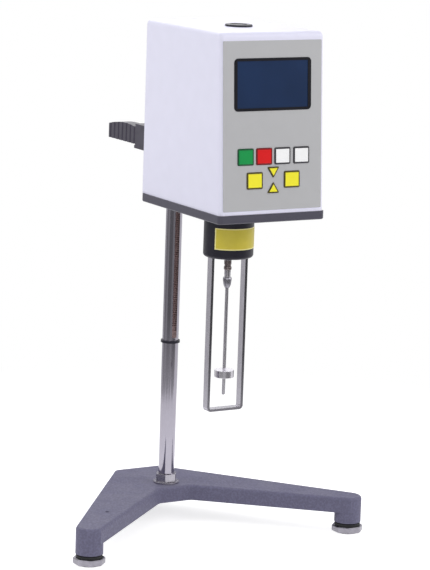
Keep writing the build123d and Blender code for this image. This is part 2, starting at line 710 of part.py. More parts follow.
def housing_cover():
    """White sheet-metal cover, open below and behind, with cut-outs for what it carries."""
    cover = head_form(0, -HEAD_REAR, PLATE_TOP) - head_form(SHELL_T, 0, PLATE_TOP - SHELL_T)
    display = RectangleRounded(DISPLAY_W + 2 * SEAT, DISPLAY_H + 2 * SEAT, DISPLAY_R)
    cover -= on_face(display, 0, DISPLAY_MID_H, -3 * SHELL_T, SHELL_T)
    for sketch, x, h in key_shapes(KEY_GAP):
        cover -= on_face(sketch, x, h, -3 * SHELL_T, SHELL_T)
    cover -= upright(VIAL_D / 2 + SEAT, HEAD_TOP - 3 * SHELL_T, HEAD_TOP, y=LEVEL_Y)
    return cover


def rear_panel():
    """Plate that closes the back of the cover and holds the switch, the inlet and the port."""
    half = HEAD_W / 2 - SHELL_T - SEAT
    panel = block(
        (-half, half), (-HEAD_REAR - SHELL_T, -HEAD_REAR), (PLATE_TOP, HEAD_TOP - SHELL_T - SEAT)
    )
    upper = panel.edges().filter_by(Axis.Y).sort_by(Axis.Z)[-2:]
    panel = fillet(upper, HEAD_EDGE_R - SHELL_T)
    panel -= fore_aft(ROD_D / 2 + AIR, -HEAD_REAR - 2 * SHELL_T, -HEAD_REAR + SHELL_T, 0, ROD_Z)
    for x, z, width, height in rear_fittings():
        panel -= rear_block(x, z, width + 2 * SEAT, height + 2 * SEAT, -SHELL_T, 0)
    return panel


def rear_fittings():
    """Centre and size of each fitting's body, seen from behind."""
    return [
        (SWITCH_X, REAR_FIT_Z, SWITCH_W, SWITCH_H),
        (INLET_X, REAR_FIT_Z, INLET_W, INLET_H),
        (PORT_X, PORT_Z, PORT_W, PORT_H),
    ]


def rear_block(x, z, width, height, inside, outside):
    """Box through the rear panel, its depths counted outwards from the panel's outer face."""
    return block(
        (x - width / 2, x + width / 2),
        (-HEAD_REAR + inside, -HEAD_REAR + outside),
        (z - height / 2, z + height / 2),
    )


def fitting_body(x, z, width, height, depth):
    """Snap-in body with a flange on the outside of the rear panel."""
    body = rear_block(x, z, width, height, -depth, 0)
    flange = rear_block(x, z, width + 2 * FIT_FLANGE, height + 2 * FIT_FLANGE, 0, FIT_FLANGE_T)
    return body + fillet(flange.edges().filter_by(Axis.Y), 1)


def switch_body():
    """Switch housing: an open room for the rocker, with a blind bore for each of its pins."""
    body = fitting_body(SWITCH_X, REAR_FIT_Z, SWITCH_W, SWITCH_H, FIT_DEPTH)
    width, height = rocker_room()
    body -= rear_block(SWITCH_X, REAR_FIT_Z, width, height, -ROCKER_SINK, FIT_FLANGE_T)
    reach = width / 2 + ROCKER_PIN_L + SEAT
    left, right = SWITCH_X - reach, SWITCH_X + reach
    return body - across(ROCKER_PIN_R + SLIP, left, right, rocker_axis_y(), REAR_FIT_Z)


def rocker_room():
    return SWITCH_W - 2 * SWITCH_WALL, SWITCH_H - 2 * SWITCH_END


def rocker_axis_y():
    return -HEAD_REAR - ROCKER_AXIS_IN


def switch_rocker():
    """Rocker that tips on two pins about a horizontal axis across the switch."""
    room_width, room_height = rocker_room()
    half, width = room_height / 2 - ROCKER_GAP, room_width - AIR
    tip = FIT_FLANGE_T + ROCKER_RISE
    side = Polyline(
        (half, AIR), (half - ROCKER_TAPER, tip), (0, tip - ROCKER_DISH), (ROCKER_TAPER - half, tip),
        (-half, AIR), (-ROCKER_FOOT_HALF, -ROCKER_FOOT_IN), (ROCKER_FOOT_HALF, -ROCKER_FOOT_IN),
        close=True,
    )
    across_switch = Plane(origin=(0, 0, 0), x_dir=(0, 0, 1), z_dir=(1, 0, 0))
    face = Pos(0, -ROCKER_AXIS_IN) * mirror(make_face(side), Plane.XZ)
    rocker = extrude(across_switch * face, amount=width / 2, both=True)
    reach = width / 2 + ROCKER_PIN_L
    rocker += across(ROCKER_PIN_R, -reach, reach, 0, 0)
    return Pos(SWITCH_X, rocker_axis_y(), REAR_FIT_Z) * Rot(ROCKER_TILT, 0, 0) * rocker


def power_inlet():
    """Three-pin mains inlet: a shrouded recess with upright blades."""
    body = fitting_body(INLET_X, REAR_FIT_Z, INLET_W, INLET_H, FIT_DEPTH)
    width, height = INLET_W - 2 * INLET_WALL_X, INLET_H - 2 * INLET_WALL_Z
    floor = -FIT_DEPTH + INLET_FLOOR
    body -= rear_block(INLET_X, REAR_FIT_Z, width, height, floor, FIT_FLANGE_T)
    for x, z in INLET_BLADES:
        root = floor - BLADE_W / 2
        body += rear_block(INLET_X + x, REAR_FIT_Z + z, BLADE_W, BLADE_H, root, -BLADE_SINK)
    return body


def serial_port():
    """Nine-pin socket with its metal shell standing out of the flange."""
    body = fitting_body(PORT_X, PORT_Z, PORT_W - 2 * PORT_EAR, PORT_H, PORT_BODY_DEPTH)
    flange = rear_block(PORT_X, PORT_Z, PORT_W, PORT_H + 2 * FIT_FLANGE, 0, PORT_FLANGE_T)
    width, height = PORT_W - 2 * PORT_SHELL_EAR, PORT_H - 2 * PORT_SHELL_EDGE
    shell = rear_block(PORT_X, PORT_Z, width, height, 0, PORT_SHELL_PROUD)
    return body + flange + fillet(shell.edges().filter_by(Axis.Y), PORT_SHELL_R)


# ---- head: front panel ------------------------------------------------------------------------------
def key_shapes(gap):
    """Sketch and place of each key, grown by a gap all round."""
    shapes = [
        (RectangleRounded(KEY_W + 2 * gap, KEY_H + 2 * gap, KEY_R + gap), x, h)
        for x, h in KEY_PLACES.values()
    ]
    return shapes + [
        (arrow(gap, -1), ARROW_X, ARROW_DOWN_BASE),
        (arrow(gap, 1), ARROW_X, ARROW_UP_BASE),
    ]


def arrow(gap, way):
    """Triangle standing on its base line, pointing up the face or down it."""
    triangle = Polygon((-ARROW_HALF, 0), (ARROW_HALF, 0), (0, ARROW_H), align=None)
    rounded = Rot(0, 0, 0 if way > 0 else 180) * fillet(triangle.vertices(), KEY_R / 2)
    return offset(rounded, gap) if gap else rounded


def key_names():
    return [*KEY_PLACES, "key_arrow_down", "key_arrow_up"]


def key(index):
    """Key cap with a retaining flange behind the cover and a stem towards its switch."""
    cap, x, h = key_shapes(0)[index]
    flange, _, _ = key_shapes(KEY_FLANGE + KEY_GAP)[index]
    flange_front = -SHELL_T - KEY_GAP
    flange_back = flange_front - KEY_FLANGE_T
    piece = on_face(cap, x, h, flange_front, PANEL_T + KEY_PROUD)
    front = piece.faces().sort_by(Axis((0, 0, 0), FACE.z_dir))[-1]
    piece = chamfer(front.edges(), 0.3)
    piece += on_face(flange, x, h, flange_back, flange_front)
    return piece + on_face(Circle(KEY_STEM_D / 2), x, key_middle(index), key_stem_end(), flange_back)


def key_middle(index):
    """Height of a key's stem: the middle of a square key, or the fat third of a triangle."""
    _, _, h = key_shapes(0)[index]
    way = {len(KEY_PLACES): -1, len(KEY_PLACES) + 1: 1}.get(index, 0)
    return h + way * ARROW_H / 3


def key_stem_end():
    return -SHELL_T - KEY_GAP - KEY_FLANGE_T - KEY_STEM_L


def panel_overlay():
    overlay = RectangleRounded(PANEL_W, PANEL_H, PANEL_R)
    sheet = on_face(overlay, 0, PANEL_LOW + PANEL_H / 2, 0, PANEL_T)
    display = RectangleRounded(DISPLAY_W + 2 * SEAT, DISPLAY_H + 2 * SEAT, DISPLAY_R)
    sheet -= on_face(display, 0, DISPLAY_MID_H, 0, 2 * PANEL_T)
    for sketch, x, h in key_shapes(KEY_GAP):
        sheet -= on_face(sketch, x, h, 0, 2 * PANEL_T)
    return sheet


def display_bezel():
    front = PANEL_T + BEZEL_PROUD
    frame = on_face(RectangleRounded(DISPLAY_W, DISPLAY_H, DISPLAY_R), 0, DISPLAY_MID_H, -SHELL_T, front)
    frame -= on_face(Rectangle(SCREEN_W, SCREEN_H), 0, DISPLAY_MID_H, -SHELL_T, front)
    return frame


def display_module():
    """Glass of the screen, which fills the bezel's opening, on its circuit board."""
    front = PANEL_T + BEZEL_PROUD - SCREEN_SINK
    glass = Rectangle(SCREEN_W - 2 * SLIP, SCREEN_H - 2 * SLIP)
    module = on_face(glass, 0, DISPLAY_MID_H, -SHELL_T, front)
    module += on_face(Rectangle(DISPLAY_W - 2, DISPLAY_H - 2), 0, DISPLAY_MID_H, -3 * SHELL_T, -SHELL_T)
    board = Rectangle(DISPLAY_W + 8, DISPLAY_H + 8)
    return module + on_face(board, 0, DISPLAY_MID_H, -3 * SHELL_T - BOARD_T, -3 * SHELL_T)


def keypad_board():
    """Board behind the keys, on studs from the cover, with a switch under each key."""
    dome_front = key_stem_end() - KEY_TRAVEL - SEAT
    front = dome_front - SWITCH_DOME_H
    low, high = ARROW_UP_BASE - KEYPAD_MARGIN, TOP_ROW_H + KEY_H / 2 + KEYPAD_MARGIN
    half = PANEL_W / 2 - KEYPAD_BOARD_INSET
    board = on_face(Rectangle(2 * half, high - low), 0, (low + high) / 2, front - BOARD_T, front)
    for x in (-half + KEYPAD_STUD_INSET, half - KEYPAD_STUD_INSET):
        for h in (low + KEYPAD_STUD_INSET, high - KEYPAD_STUD_INSET):
            board += on_face(Circle(KEYPAD_STUD_R), x, h, front, -SHELL_T)
    for index, (_, x, _) in enumerate(key_shapes(0)):
        board += on_face(Circle(SWITCH_DOME_R), x, key_middle(index), front, dome_front)
    return board


# ---- head: drive ------------------------------------------------------------------------------------
def post_places():
    x = MOTOR_PLATE_W / 2 - POST_INSET
    y = MOTOR_PLATE_D / 2 - POST_INSET
    return [(sx * x, plate_middle_y() + sy * y) for sx in (-1, 1) for sy in (-1, 1)]


def plate_middle_y():
    return SPINDLE_Y + GEAR_CENTRES / 4


def chassis_posts():
    """Lower posts from the base plate to the motor plate, and upper ones to the main board."""
    posts = []
    for x, y in post_places():
        posts.append(upright(POST_D / 2, PLATE_TOP, MOTOR_PLATE_Z, x, y))
        posts.append(upright(POST_D / 2, MOTOR_PLATE_TOP, BOARD_Z, x, y))
    return Compound(posts)


def motor_plate():
    half_w, half_d = MOTOR_PLATE_W / 2, MOTOR_PLATE_D / 2
    middle = plate_middle_y()
    plate = block(
        (-half_w, half_w), (middle - half_d, middle + half_d), (MOTOR_PLATE_Z, MOTOR_PLATE_TOP)
    )
    plate = fillet(plate.edges().filter_by(Axis.Z), POST_INSET)
    plate -= upright(BEARING_D / 2 + SLIP, MOTOR_PLATE_Z, MOTOR_PLATE_TOP, y=SPINDLE_Y)
    return plate - upright(MOTOR_BOSS_D / 2 + SEAT, MOTOR_PLATE_Z, MOTOR_PLATE_TOP, y=MOTOR_Y)


def motor():
    """Geared synchronous motor hung under its plate, its boss centred in the plate's hole."""
    can = upright(MOTOR_D / 2, MOTOR_PLATE_Z - MOTOR_H, MOTOR_PLATE_Z)
    can = fillet(can.edges().filter_by(GeomType.CIRCLE), 1)
    can += upright(MOTOR_BOSS_D / 2, MOTOR_PLATE_Z - 1, MOTOR_PLATE_TOP)
    ears = SlotCenterToCenter(MOTOR_D + 6, 8)
    can += prism(ears, MOTOR_PLATE_Z - 2, MOTOR_PLATE_Z)
    can -= upright(MOTOR_SHAFT_D / 2 + SLIP, motor_shaft_low(), MOTOR_PLATE_TOP)
    return Pos(0, MOTOR_Y) * can


def motor_shaft_low():
    return MOTOR_PLATE_Z - 6


def motor_pinion():
    """Brass pinion on the motor's shaft, turned so that a gap takes the drive gear's nearest tooth."""
    wheel = prism(gear_sketch(GEAR_MODULE, MOTOR_TEETH, gear_backlash()), GEAR_Z - 0.5, GEAR_Z + GEAR_T)
    past = -90 % (360 / GEAR_TEETH)
    turn = -90 - past * GEAR_TEETH / MOTOR_TEETH - 180 / MOTOR_TEETH
    wheel = Rot(0, 0, turn) * wheel
    wheel += upright(MOTOR_SHAFT_D / 2, motor_shaft_low() + AIR, GEAR_Z + GEAR_T + 1)
    return Pos(0, MOTOR_Y) * wheel


def gear_backlash():
    return 0.12 * GEAR_MODULE


def drive_gear():
    """Gear on a hollow hub that runs in the plate's bearing around the spindle shaft."""
    wheel = prism(gear_sketch(GEAR_MODULE, GEAR_TEETH, gear_backlash()), GEAR_Z, GEAR_Z + GEAR_T)
    root_r = GEAR_MODULE * GEAR_TEETH / 2 - 2.5 * GEAR_MODULE
    hole_r = (root_r - HUB_D / 2) / 2 - 2
    wheel -= PolarLocations((root_r + HUB_D / 2) / 2, 5) * upright(hole_r, GEAR_Z, GEAR_Z + GEAR_T)
    wheel += upright(HUB_D / 2, hub_low(), GEAR_Z + GEAR_T + 2)
    wheel += upright(HUB_D / 2 + 2, MOTOR_PLATE_TOP + BEARING_FLANGE_H + SEAT, GEAR_Z)
    wheel += block(
        (HUB_D / 2 - 1, spring_outer_r() + SPRING_T), (-1.5, 1.5), (hub_low(), hub_low() + 2)
    )
    wheel += block(
        (spring_outer_r(), spring_outer_r() + SPRING_T), (-1.5, 1.5), (spring_low(), hub_low() + 2)
    )
    return Pos(0, SPINDLE_Y) * (wheel - upright(SPINDLE_SHAFT_D / 2 + SLIP, PLATE_Z, HEAD_TOP))


def hub_low():
    return MOTOR_PLATE_Z - HUB_BOTTOM_DROP


def spring_low():
    return hub_low() - SPRING_H - 1


def spring_outer_r():
    return COLLET_D / 2 + SPRING_TURNS * SPRING_PITCH + SPRING_T


def hairspring():
    """Flat spiral between the shaft's collet and the drive gear's arm, made of half-circle arcs."""
    arcs = []
    radius, side, start = COLLET_D / 2 + SPRING_T, 1, COLLET_D / 2 + SPRING_T
    for _ in range(2 * SPRING_TURNS):
        end = start - side * 2 * (radius + SPRING_PITCH / 4)
        middle = (start + end) / 2
        half = abs(start - end) / 2
        arcs.append(ThreePointArc((start, 0), (middle, side * half), (end, 0)))
        start, side, radius = end, -side, half
    path = Wire([arc.edge() for arc in arcs])
    band = offset(path, SPRING_T / 2, side=Side.BOTH, closed=True)
    strip = make_face(band.edges())
    return Pos(0, SPINDLE_Y, spring_low()) * extrude(strip, amount=SPRING_H)


def spindle_shaft():
    """Measuring shaft with the spring's collet and a slotted encoder disc, ending in the coupling nut."""
    disc_low = GEAR_Z + GEAR_T + ENCODER_LIFT
    top = disc_low + ENCODER_T + 3
    shaft = upright(SPINDLE_SHAFT_D / 2, COUPLING_TOP, top)
    shaft += upright(SPINDLE_D / 2, SPINDLE_JOINT, COUPLING_TOP)
    shaft += upright(COLLET_D / 2, spring_low() - 1, spring_low() + SPRING_H)
    shaft = chamfer(shaft.edges().sort_by(Axis.Z)[-1], 0.5)
    disc = upright(ENCODER_D / 2, disc_low, disc_low + ENCODER_T)
    slot = Pos(ENCODER_D / 2 - 4, 0, disc_low) * Box(4, 1.5, 4 * ENCODER_T)
    disc -= PolarLocations(0, ENCODER_SLOTS) * slot
    return Pos(0, SPINDLE_Y) * (shaft + disc)


def drive_bearing():
    """Flanged ball bearing of the drive gear's hub."""
    low = MOTOR_PLATE_Z
    race = upright(BEARING_D / 2, low, MOTOR_PLATE_TOP)
    race += upright(BEARING_FLANGE_D / 2, MOTOR_PLATE_TOP, MOTOR_PLATE_TOP + BEARING_FLANGE_H)
    return Pos(0, SPINDLE_Y) * (race - upright(HUB_D / 2 + SLIP, low, HEAD_TOP))


def spindle_collar():
    """Black cup under the head, with a slot on each side for the guard's legs."""
    cup = upright(COLLAR_D / 2, COLLAR_BOTTOM, PLATE_Z)
    cup = fillet(cup.edges().sort_by(Axis.Z)[0], COLLAR_R)
    cup -= upright(COLLAR_D / 2 - COLLAR_WALL, COLLAR_BOTTOM + COLLAR_FLOOR, PLATE_Z)
    cup -= upright(PIVOT_D / 2 + SLIP, COLLAR_BOTTOM, PLATE_Z)
    outer = GUARD_W / 2
    for side in (-1, 1):
        cup -= block(
            (side * (outer - GUARD_T - SEAT), side * (outer + SEAT)),
            (-GUARD_DEPTH / 2 - SEAT, GUARD_DEPTH / 2 + SEAT),
            (COLLAR_BOTTOM, COLLAR_BOTTOM + GUARD_GRIP + SEAT),
        )
    return Pos(0, SPINDLE_Y) * cup


def pivot_cup():
    """Steel cup in the collar's floor that holds the shaft's lower bearing."""
    cup = upright(PIVOT_D / 2, COLLAR_BOTTOM, COLLAR_BOTTOM + COLLAR_FLOOR + 4)
    cup += upright(PIVOT_FLANGE_D / 2, COLLAR_BOTTOM - PIVOT_FLANGE_H, COLLAR_BOTTOM)
    cup -= upright(SPINDLE_SHAFT_D / 2 + SLIP, COUPLING_BOTTOM, HEAD_TOP)
    return Pos(0, SPINDLE_Y) * cup


def spindle_guard():
    """Flat steel strap bent to a U around the spindle."""
    high = COLLAR_BOTTOM + GUARD_GRIP
    middle = (GUARD_BOTTOM + high) / 2
    outer = Pos(0, middle) * Rectangle(GUARD_W, high - GUARD_BOTTOM)
    inner = Pos(0, middle + GUARD_T) * Rectangle(GUARD_W - 2 * GUARD_T, high - GUARD_BOTTOM)
    outer = fillet(outer.vertices().sort_by(Axis.Y)[:2], GUARD_R)
    inner = fillet(inner.vertices().sort_by(Axis.Y)[:2], GUARD_R - GUARD_T)
    strap = extrude(Plane.XZ * (outer - inner), amount=GUARD_DEPTH / 2, both=True)
    return Pos(0, SPINDLE_Y) * strap


def coupling_nut():
    """Slim nut that joins the measuring spindle to the shaft; its lower end tapers."""
    taper = COUPLING_D / 3
    nut = upright(COUPLING_D / 2, COUPLING_BOTTOM + taper, COUPLING_TOP)
    cone = Cone(SPINDLE_D / 2 + 0.4, COUPLING_D / 2, taper)
    nut += Pos(0, 0, COUPLING_BOTTOM + taper / 2) * cone
    nut -= upright(SPINDLE_D / 2 + SLIP, COUPLING_BOTTOM, COUPLING_TOP)
    return Pos(0, SPINDLE_Y) * nut


def measuring_spindle():
    """Shaft with its immersion disc and tail, turned from one bar."""
    spindle = upright(SPINDLE_D / 2, SPINDLE_END, SPINDLE_JOINT)
    spindle = chamfer(spindle.edges().sort_by(Axis.Z)[0], 0.6)
    disc = upright(DISC_D / 2, DISC_Z - DISC_H / 2, DISC_Z + DISC_H / 2)
    return Pos(0, SPINDLE_Y) * (spindle + fillet(disc.edges().filter_by(GeomType.CIRCLE), 0.3))


# ---- head: electronics, level and screws ------------------------------------------------------------
def main_board():
    half_w = MOTOR_PLATE_W / 2
    middle, half_d = plate_middle_y(), MOTOR_PLATE_D / 2
    top = BOARD_Z + BOARD_T
    board = block((-half_w, half_w), (middle - half_d, middle + half_d), (BOARD_Z, top))
    for x, y, width, depth, height in CHIPS:
        board += block(
            (x - width / 2, x + width / 2),
            (middle + y - depth / 2, middle + y + depth / 2),
            (top, top + height),
        )
    return board


def power_board():
    """Upright supply board that stands on the main board, with its transformer and capacitors."""
    left = -MOTOR_PLATE_W / 2
    low = BOARD_Z + BOARD_T
    face = left + BOARD_T
    middle = plate_middle_y() - SUPPLY_FRONTWARD
    front = middle - SUPPLY_D / 2
    board = block((left, face), (front, middle + SUPPLY_D / 2), (low, low + SUPPLY_H))
    coil_low = low + COIL_LIFT
    board += block(
        (face, face + COIL_W),
        (front + COIL_INSET, front + COIL_INSET + COIL_D),
        (coil_low, coil_low + COIL_H),
    )
    for step in (0, 1):
        z = low + CAPACITOR_LIFT + CAPACITOR_PITCH * step
        board += across(CAPACITOR_R, face, face + CAPACITOR_L, middle + CAPACITOR_BACK, z)
    return board


def bubble_level():
    """Black ring on the cover, with the sleeve that drops through it."""
    base = ring(LEVEL_D, VIAL_D / 2 - 1.5, HEAD_TOP, HEAD_TOP + LEVEL_H, LEVEL_Y)
    base = chamfer(base.edges().group_by(Axis.Z)[-1], 0.5)
    sleeve = upright(VIAL_D / 2, HEAD_TOP - VIAL_H, HEAD_TOP, y=LEVEL_Y)
    return base + sleeve - upright(VIAL_D / 2 - 1.5, HEAD_TOP - VIAL_H + 1.5, HEAD_TOP + LEVEL_H, y=LEVEL_Y)


def level_vial():
    radius = VIAL_D / 2 - 1.5 - SLIP
    vial = upright(radius, HEAD_TOP - VIAL_H + 1.5, HEAD_TOP + LEVEL_H - 0.4, y=LEVEL_Y)
    return fillet(vial.edges().sort_by(Axis.Z)[-1], 0.6)


def panel_screws():
    """Pan-head screws that hold the rear panel, near its corners."""
    x = HEAD_W / 2 - 9
    screws = []
    for sx in (-1, 1):
        for z in (PLATE_TOP + 12, HEAD_TOP - 14):
            head = fore_aft(SCREW_HEAD_D / 2, -HEAD_REAR, -HEAD_REAR + SCREW_HEAD_H, sx * x, z)
            screws.append(fillet(head.edges().sort_by(Axis.Y)[-1], 0.8))
    return Compound(screws)


# ---- write every piece ------------------------------------------------------------------------------
def pieces():
    named = {
        function.__name__: function()
        for function in (
            base_casting, column, column_rack, rack_screws, stop_ring, column_washer, column_nut,
            lock_nut, lift_carriage, slide_bushes, lift_pinion, lift_knob, brake_lever, brake_pad,
            clamp_screw, mounting_rod, rod_bracket, base_plate, housing_cover, rear_panel,
            switch_body, switch_rocker, power_inlet, serial_port, panel_overlay, display_bezel,
            display_module, keypad_board, chassis_posts, motor_plate, motor, motor_pinion, drive_gear,
            hairspring, spindle_shaft, drive_bearing, spindle_collar, pivot_cup,
            spindle_guard, coupling_nut, measuring_spindle, main_board, power_board, bubble_level,
            level_vial, panel_screws,
        )
    }
    for place, spot in foot_places().items():
        named[f"foot_pad_{place}"] = foot_pad(spot)
        named[f"levelling_foot_{place}"] = levelling_foot(spot)
    for index, name in enumerate(key_names()):
        named[name] = key(index)
    return named


os.makedirs("parts", exist_ok=True)
for name, shape in pieces().items():
    export_step(Pos(0, DATUM_Y, 0) * shape, os.path.join("parts", name + ".step"))
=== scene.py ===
"""Looks of a rotational viscometer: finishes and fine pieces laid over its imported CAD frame.

The frame gives every size and place. Each sub-assembly is a class that dresses its own CAD nodes
and builds the thin pieces that belong on them. The studio makes the camera, the lamps and the
floor. Lengths are in metres, and MM turns a size in millimetres into metres.
"""

import logging
import math
from collections.abc import Callable, Iterable
from dataclasses import dataclass
from enum import Enum

import bpy
from mathutils import Matrix, Vector


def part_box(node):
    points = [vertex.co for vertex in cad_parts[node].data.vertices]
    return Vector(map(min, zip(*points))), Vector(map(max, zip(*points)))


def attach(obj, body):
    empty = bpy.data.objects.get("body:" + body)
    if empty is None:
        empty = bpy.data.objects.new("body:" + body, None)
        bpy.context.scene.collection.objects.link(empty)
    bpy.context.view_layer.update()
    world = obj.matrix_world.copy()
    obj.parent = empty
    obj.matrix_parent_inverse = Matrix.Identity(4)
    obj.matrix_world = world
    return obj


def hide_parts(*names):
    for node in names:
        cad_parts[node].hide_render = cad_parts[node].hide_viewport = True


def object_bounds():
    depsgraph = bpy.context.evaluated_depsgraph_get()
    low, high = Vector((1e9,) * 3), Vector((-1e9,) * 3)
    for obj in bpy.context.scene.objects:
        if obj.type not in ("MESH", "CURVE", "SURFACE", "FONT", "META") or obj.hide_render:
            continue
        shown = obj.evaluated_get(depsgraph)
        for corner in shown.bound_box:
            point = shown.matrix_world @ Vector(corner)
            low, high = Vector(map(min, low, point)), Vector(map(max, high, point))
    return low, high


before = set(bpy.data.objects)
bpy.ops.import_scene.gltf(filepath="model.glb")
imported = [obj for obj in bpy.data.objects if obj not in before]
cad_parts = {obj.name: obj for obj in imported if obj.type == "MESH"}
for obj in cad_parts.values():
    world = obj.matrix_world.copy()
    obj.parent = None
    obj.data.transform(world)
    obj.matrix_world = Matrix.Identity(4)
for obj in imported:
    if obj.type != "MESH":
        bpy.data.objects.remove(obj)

LOG = logging.getLogger("viscometer")
MM = 0.001
Colour = tuple[float, float, float, float]
Point = tuple[float, float, float]
Polygon = bpy.types.MeshPolygon
Socket = bpy.types.NodeSocket
Sockets = bpy.types.bpy_prop_collection
CAD_LOW, CAD_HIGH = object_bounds()
EDGES = (False, True, False)
FACES = (False, False, True)
EASED_ABOVE = 1.0
RUB_SCALE = 420.0
DUST_SCALE = 38.0


def srgb(red: int, green: int, blue: int) -> Colour:
    """Turns an eight-bit display colour into the linear one that shaders take.

    Args:
        red: red, 0 to 255.
        green: green, 0 to 255.
        blue: blue, 0 to 255.

    Returns:
        The linear colour, opaque.
    """
    linear = []
    for part in (red / 255, green / 255, blue / 255):
        linear.append(part / 12.92 if part <= 0.04045 else ((part + 0.055) / 1.055) ** 2.4)
    return (*linear, 1.0)


class Wiring:
    """Adds nodes to one node tree and joins them up."""

    def __init__(self, tree: bpy.types.NodeTree) -> None:
        """Keeps the tree that is being wired."""
        self.tree = tree

    def feed(self, socket: Socket, value: object) -> None:
        """Links a socket to an output, or sets it to a constant.

        Args:
            socket: the input to fill.
            value: an output socket, or the constant itself.
        """
        if isinstance(value, Socket):
            self.tree.links.new(value, socket)
        else:
            socket.default_value = value

    def node(self, kind: str, values: dict | None = None, **settings: object) -> bpy.types.Node:
        """Adds a node.

        Args:
            kind: the node's type name.
            values: what goes into each input, by the input's name or number.
            settings: the node's own properties.

        Returns:
            The new node.
        """
        made = self.tree.nodes.new(kind)
        for name, value in settings.items():
            setattr(made, name, value)
        for name, value in (values or {}).items():
            self.feed(made.inputs[name], value)
        return made

    def math(self, operation: str, first: object, second: object = 0.0) -> Socket:
        """Returns the result of a sum on one or two values."""
        return self.node("ShaderNodeMath", {0: first, 1: second}, operation=operation).outputs[0]

    def mix(self, factor: object, low: object, high: object) -> Socket:
        """Returns a colour between two, by a factor."""
        values = {0: factor, 6: low, 7: high}
        return self.node("ShaderNodeMix", values, data_type="RGBA").outputs[2]

    def remap(self, value: object, source: tuple, target: tuple = (0.0, 1.0)) -> Socket:
        """Returns a value moved from one range to another, held inside it."""
        values = {0: value, 1: source[0], 2: source[1], 3: target[0], 4: target[1]}
        return self.node("ShaderNodeMapRange", values).outputs[0]

    def noise(self, vector: object, scale: object, detail: float = 3.0) -> Socket:
        """Returns soft noise at a scale, in cycles a metre."""
        values = {"Vector": vector, "Scale": scale, "Detail": detail}
        return self.node("ShaderNodeTexNoise", values).outputs[0]


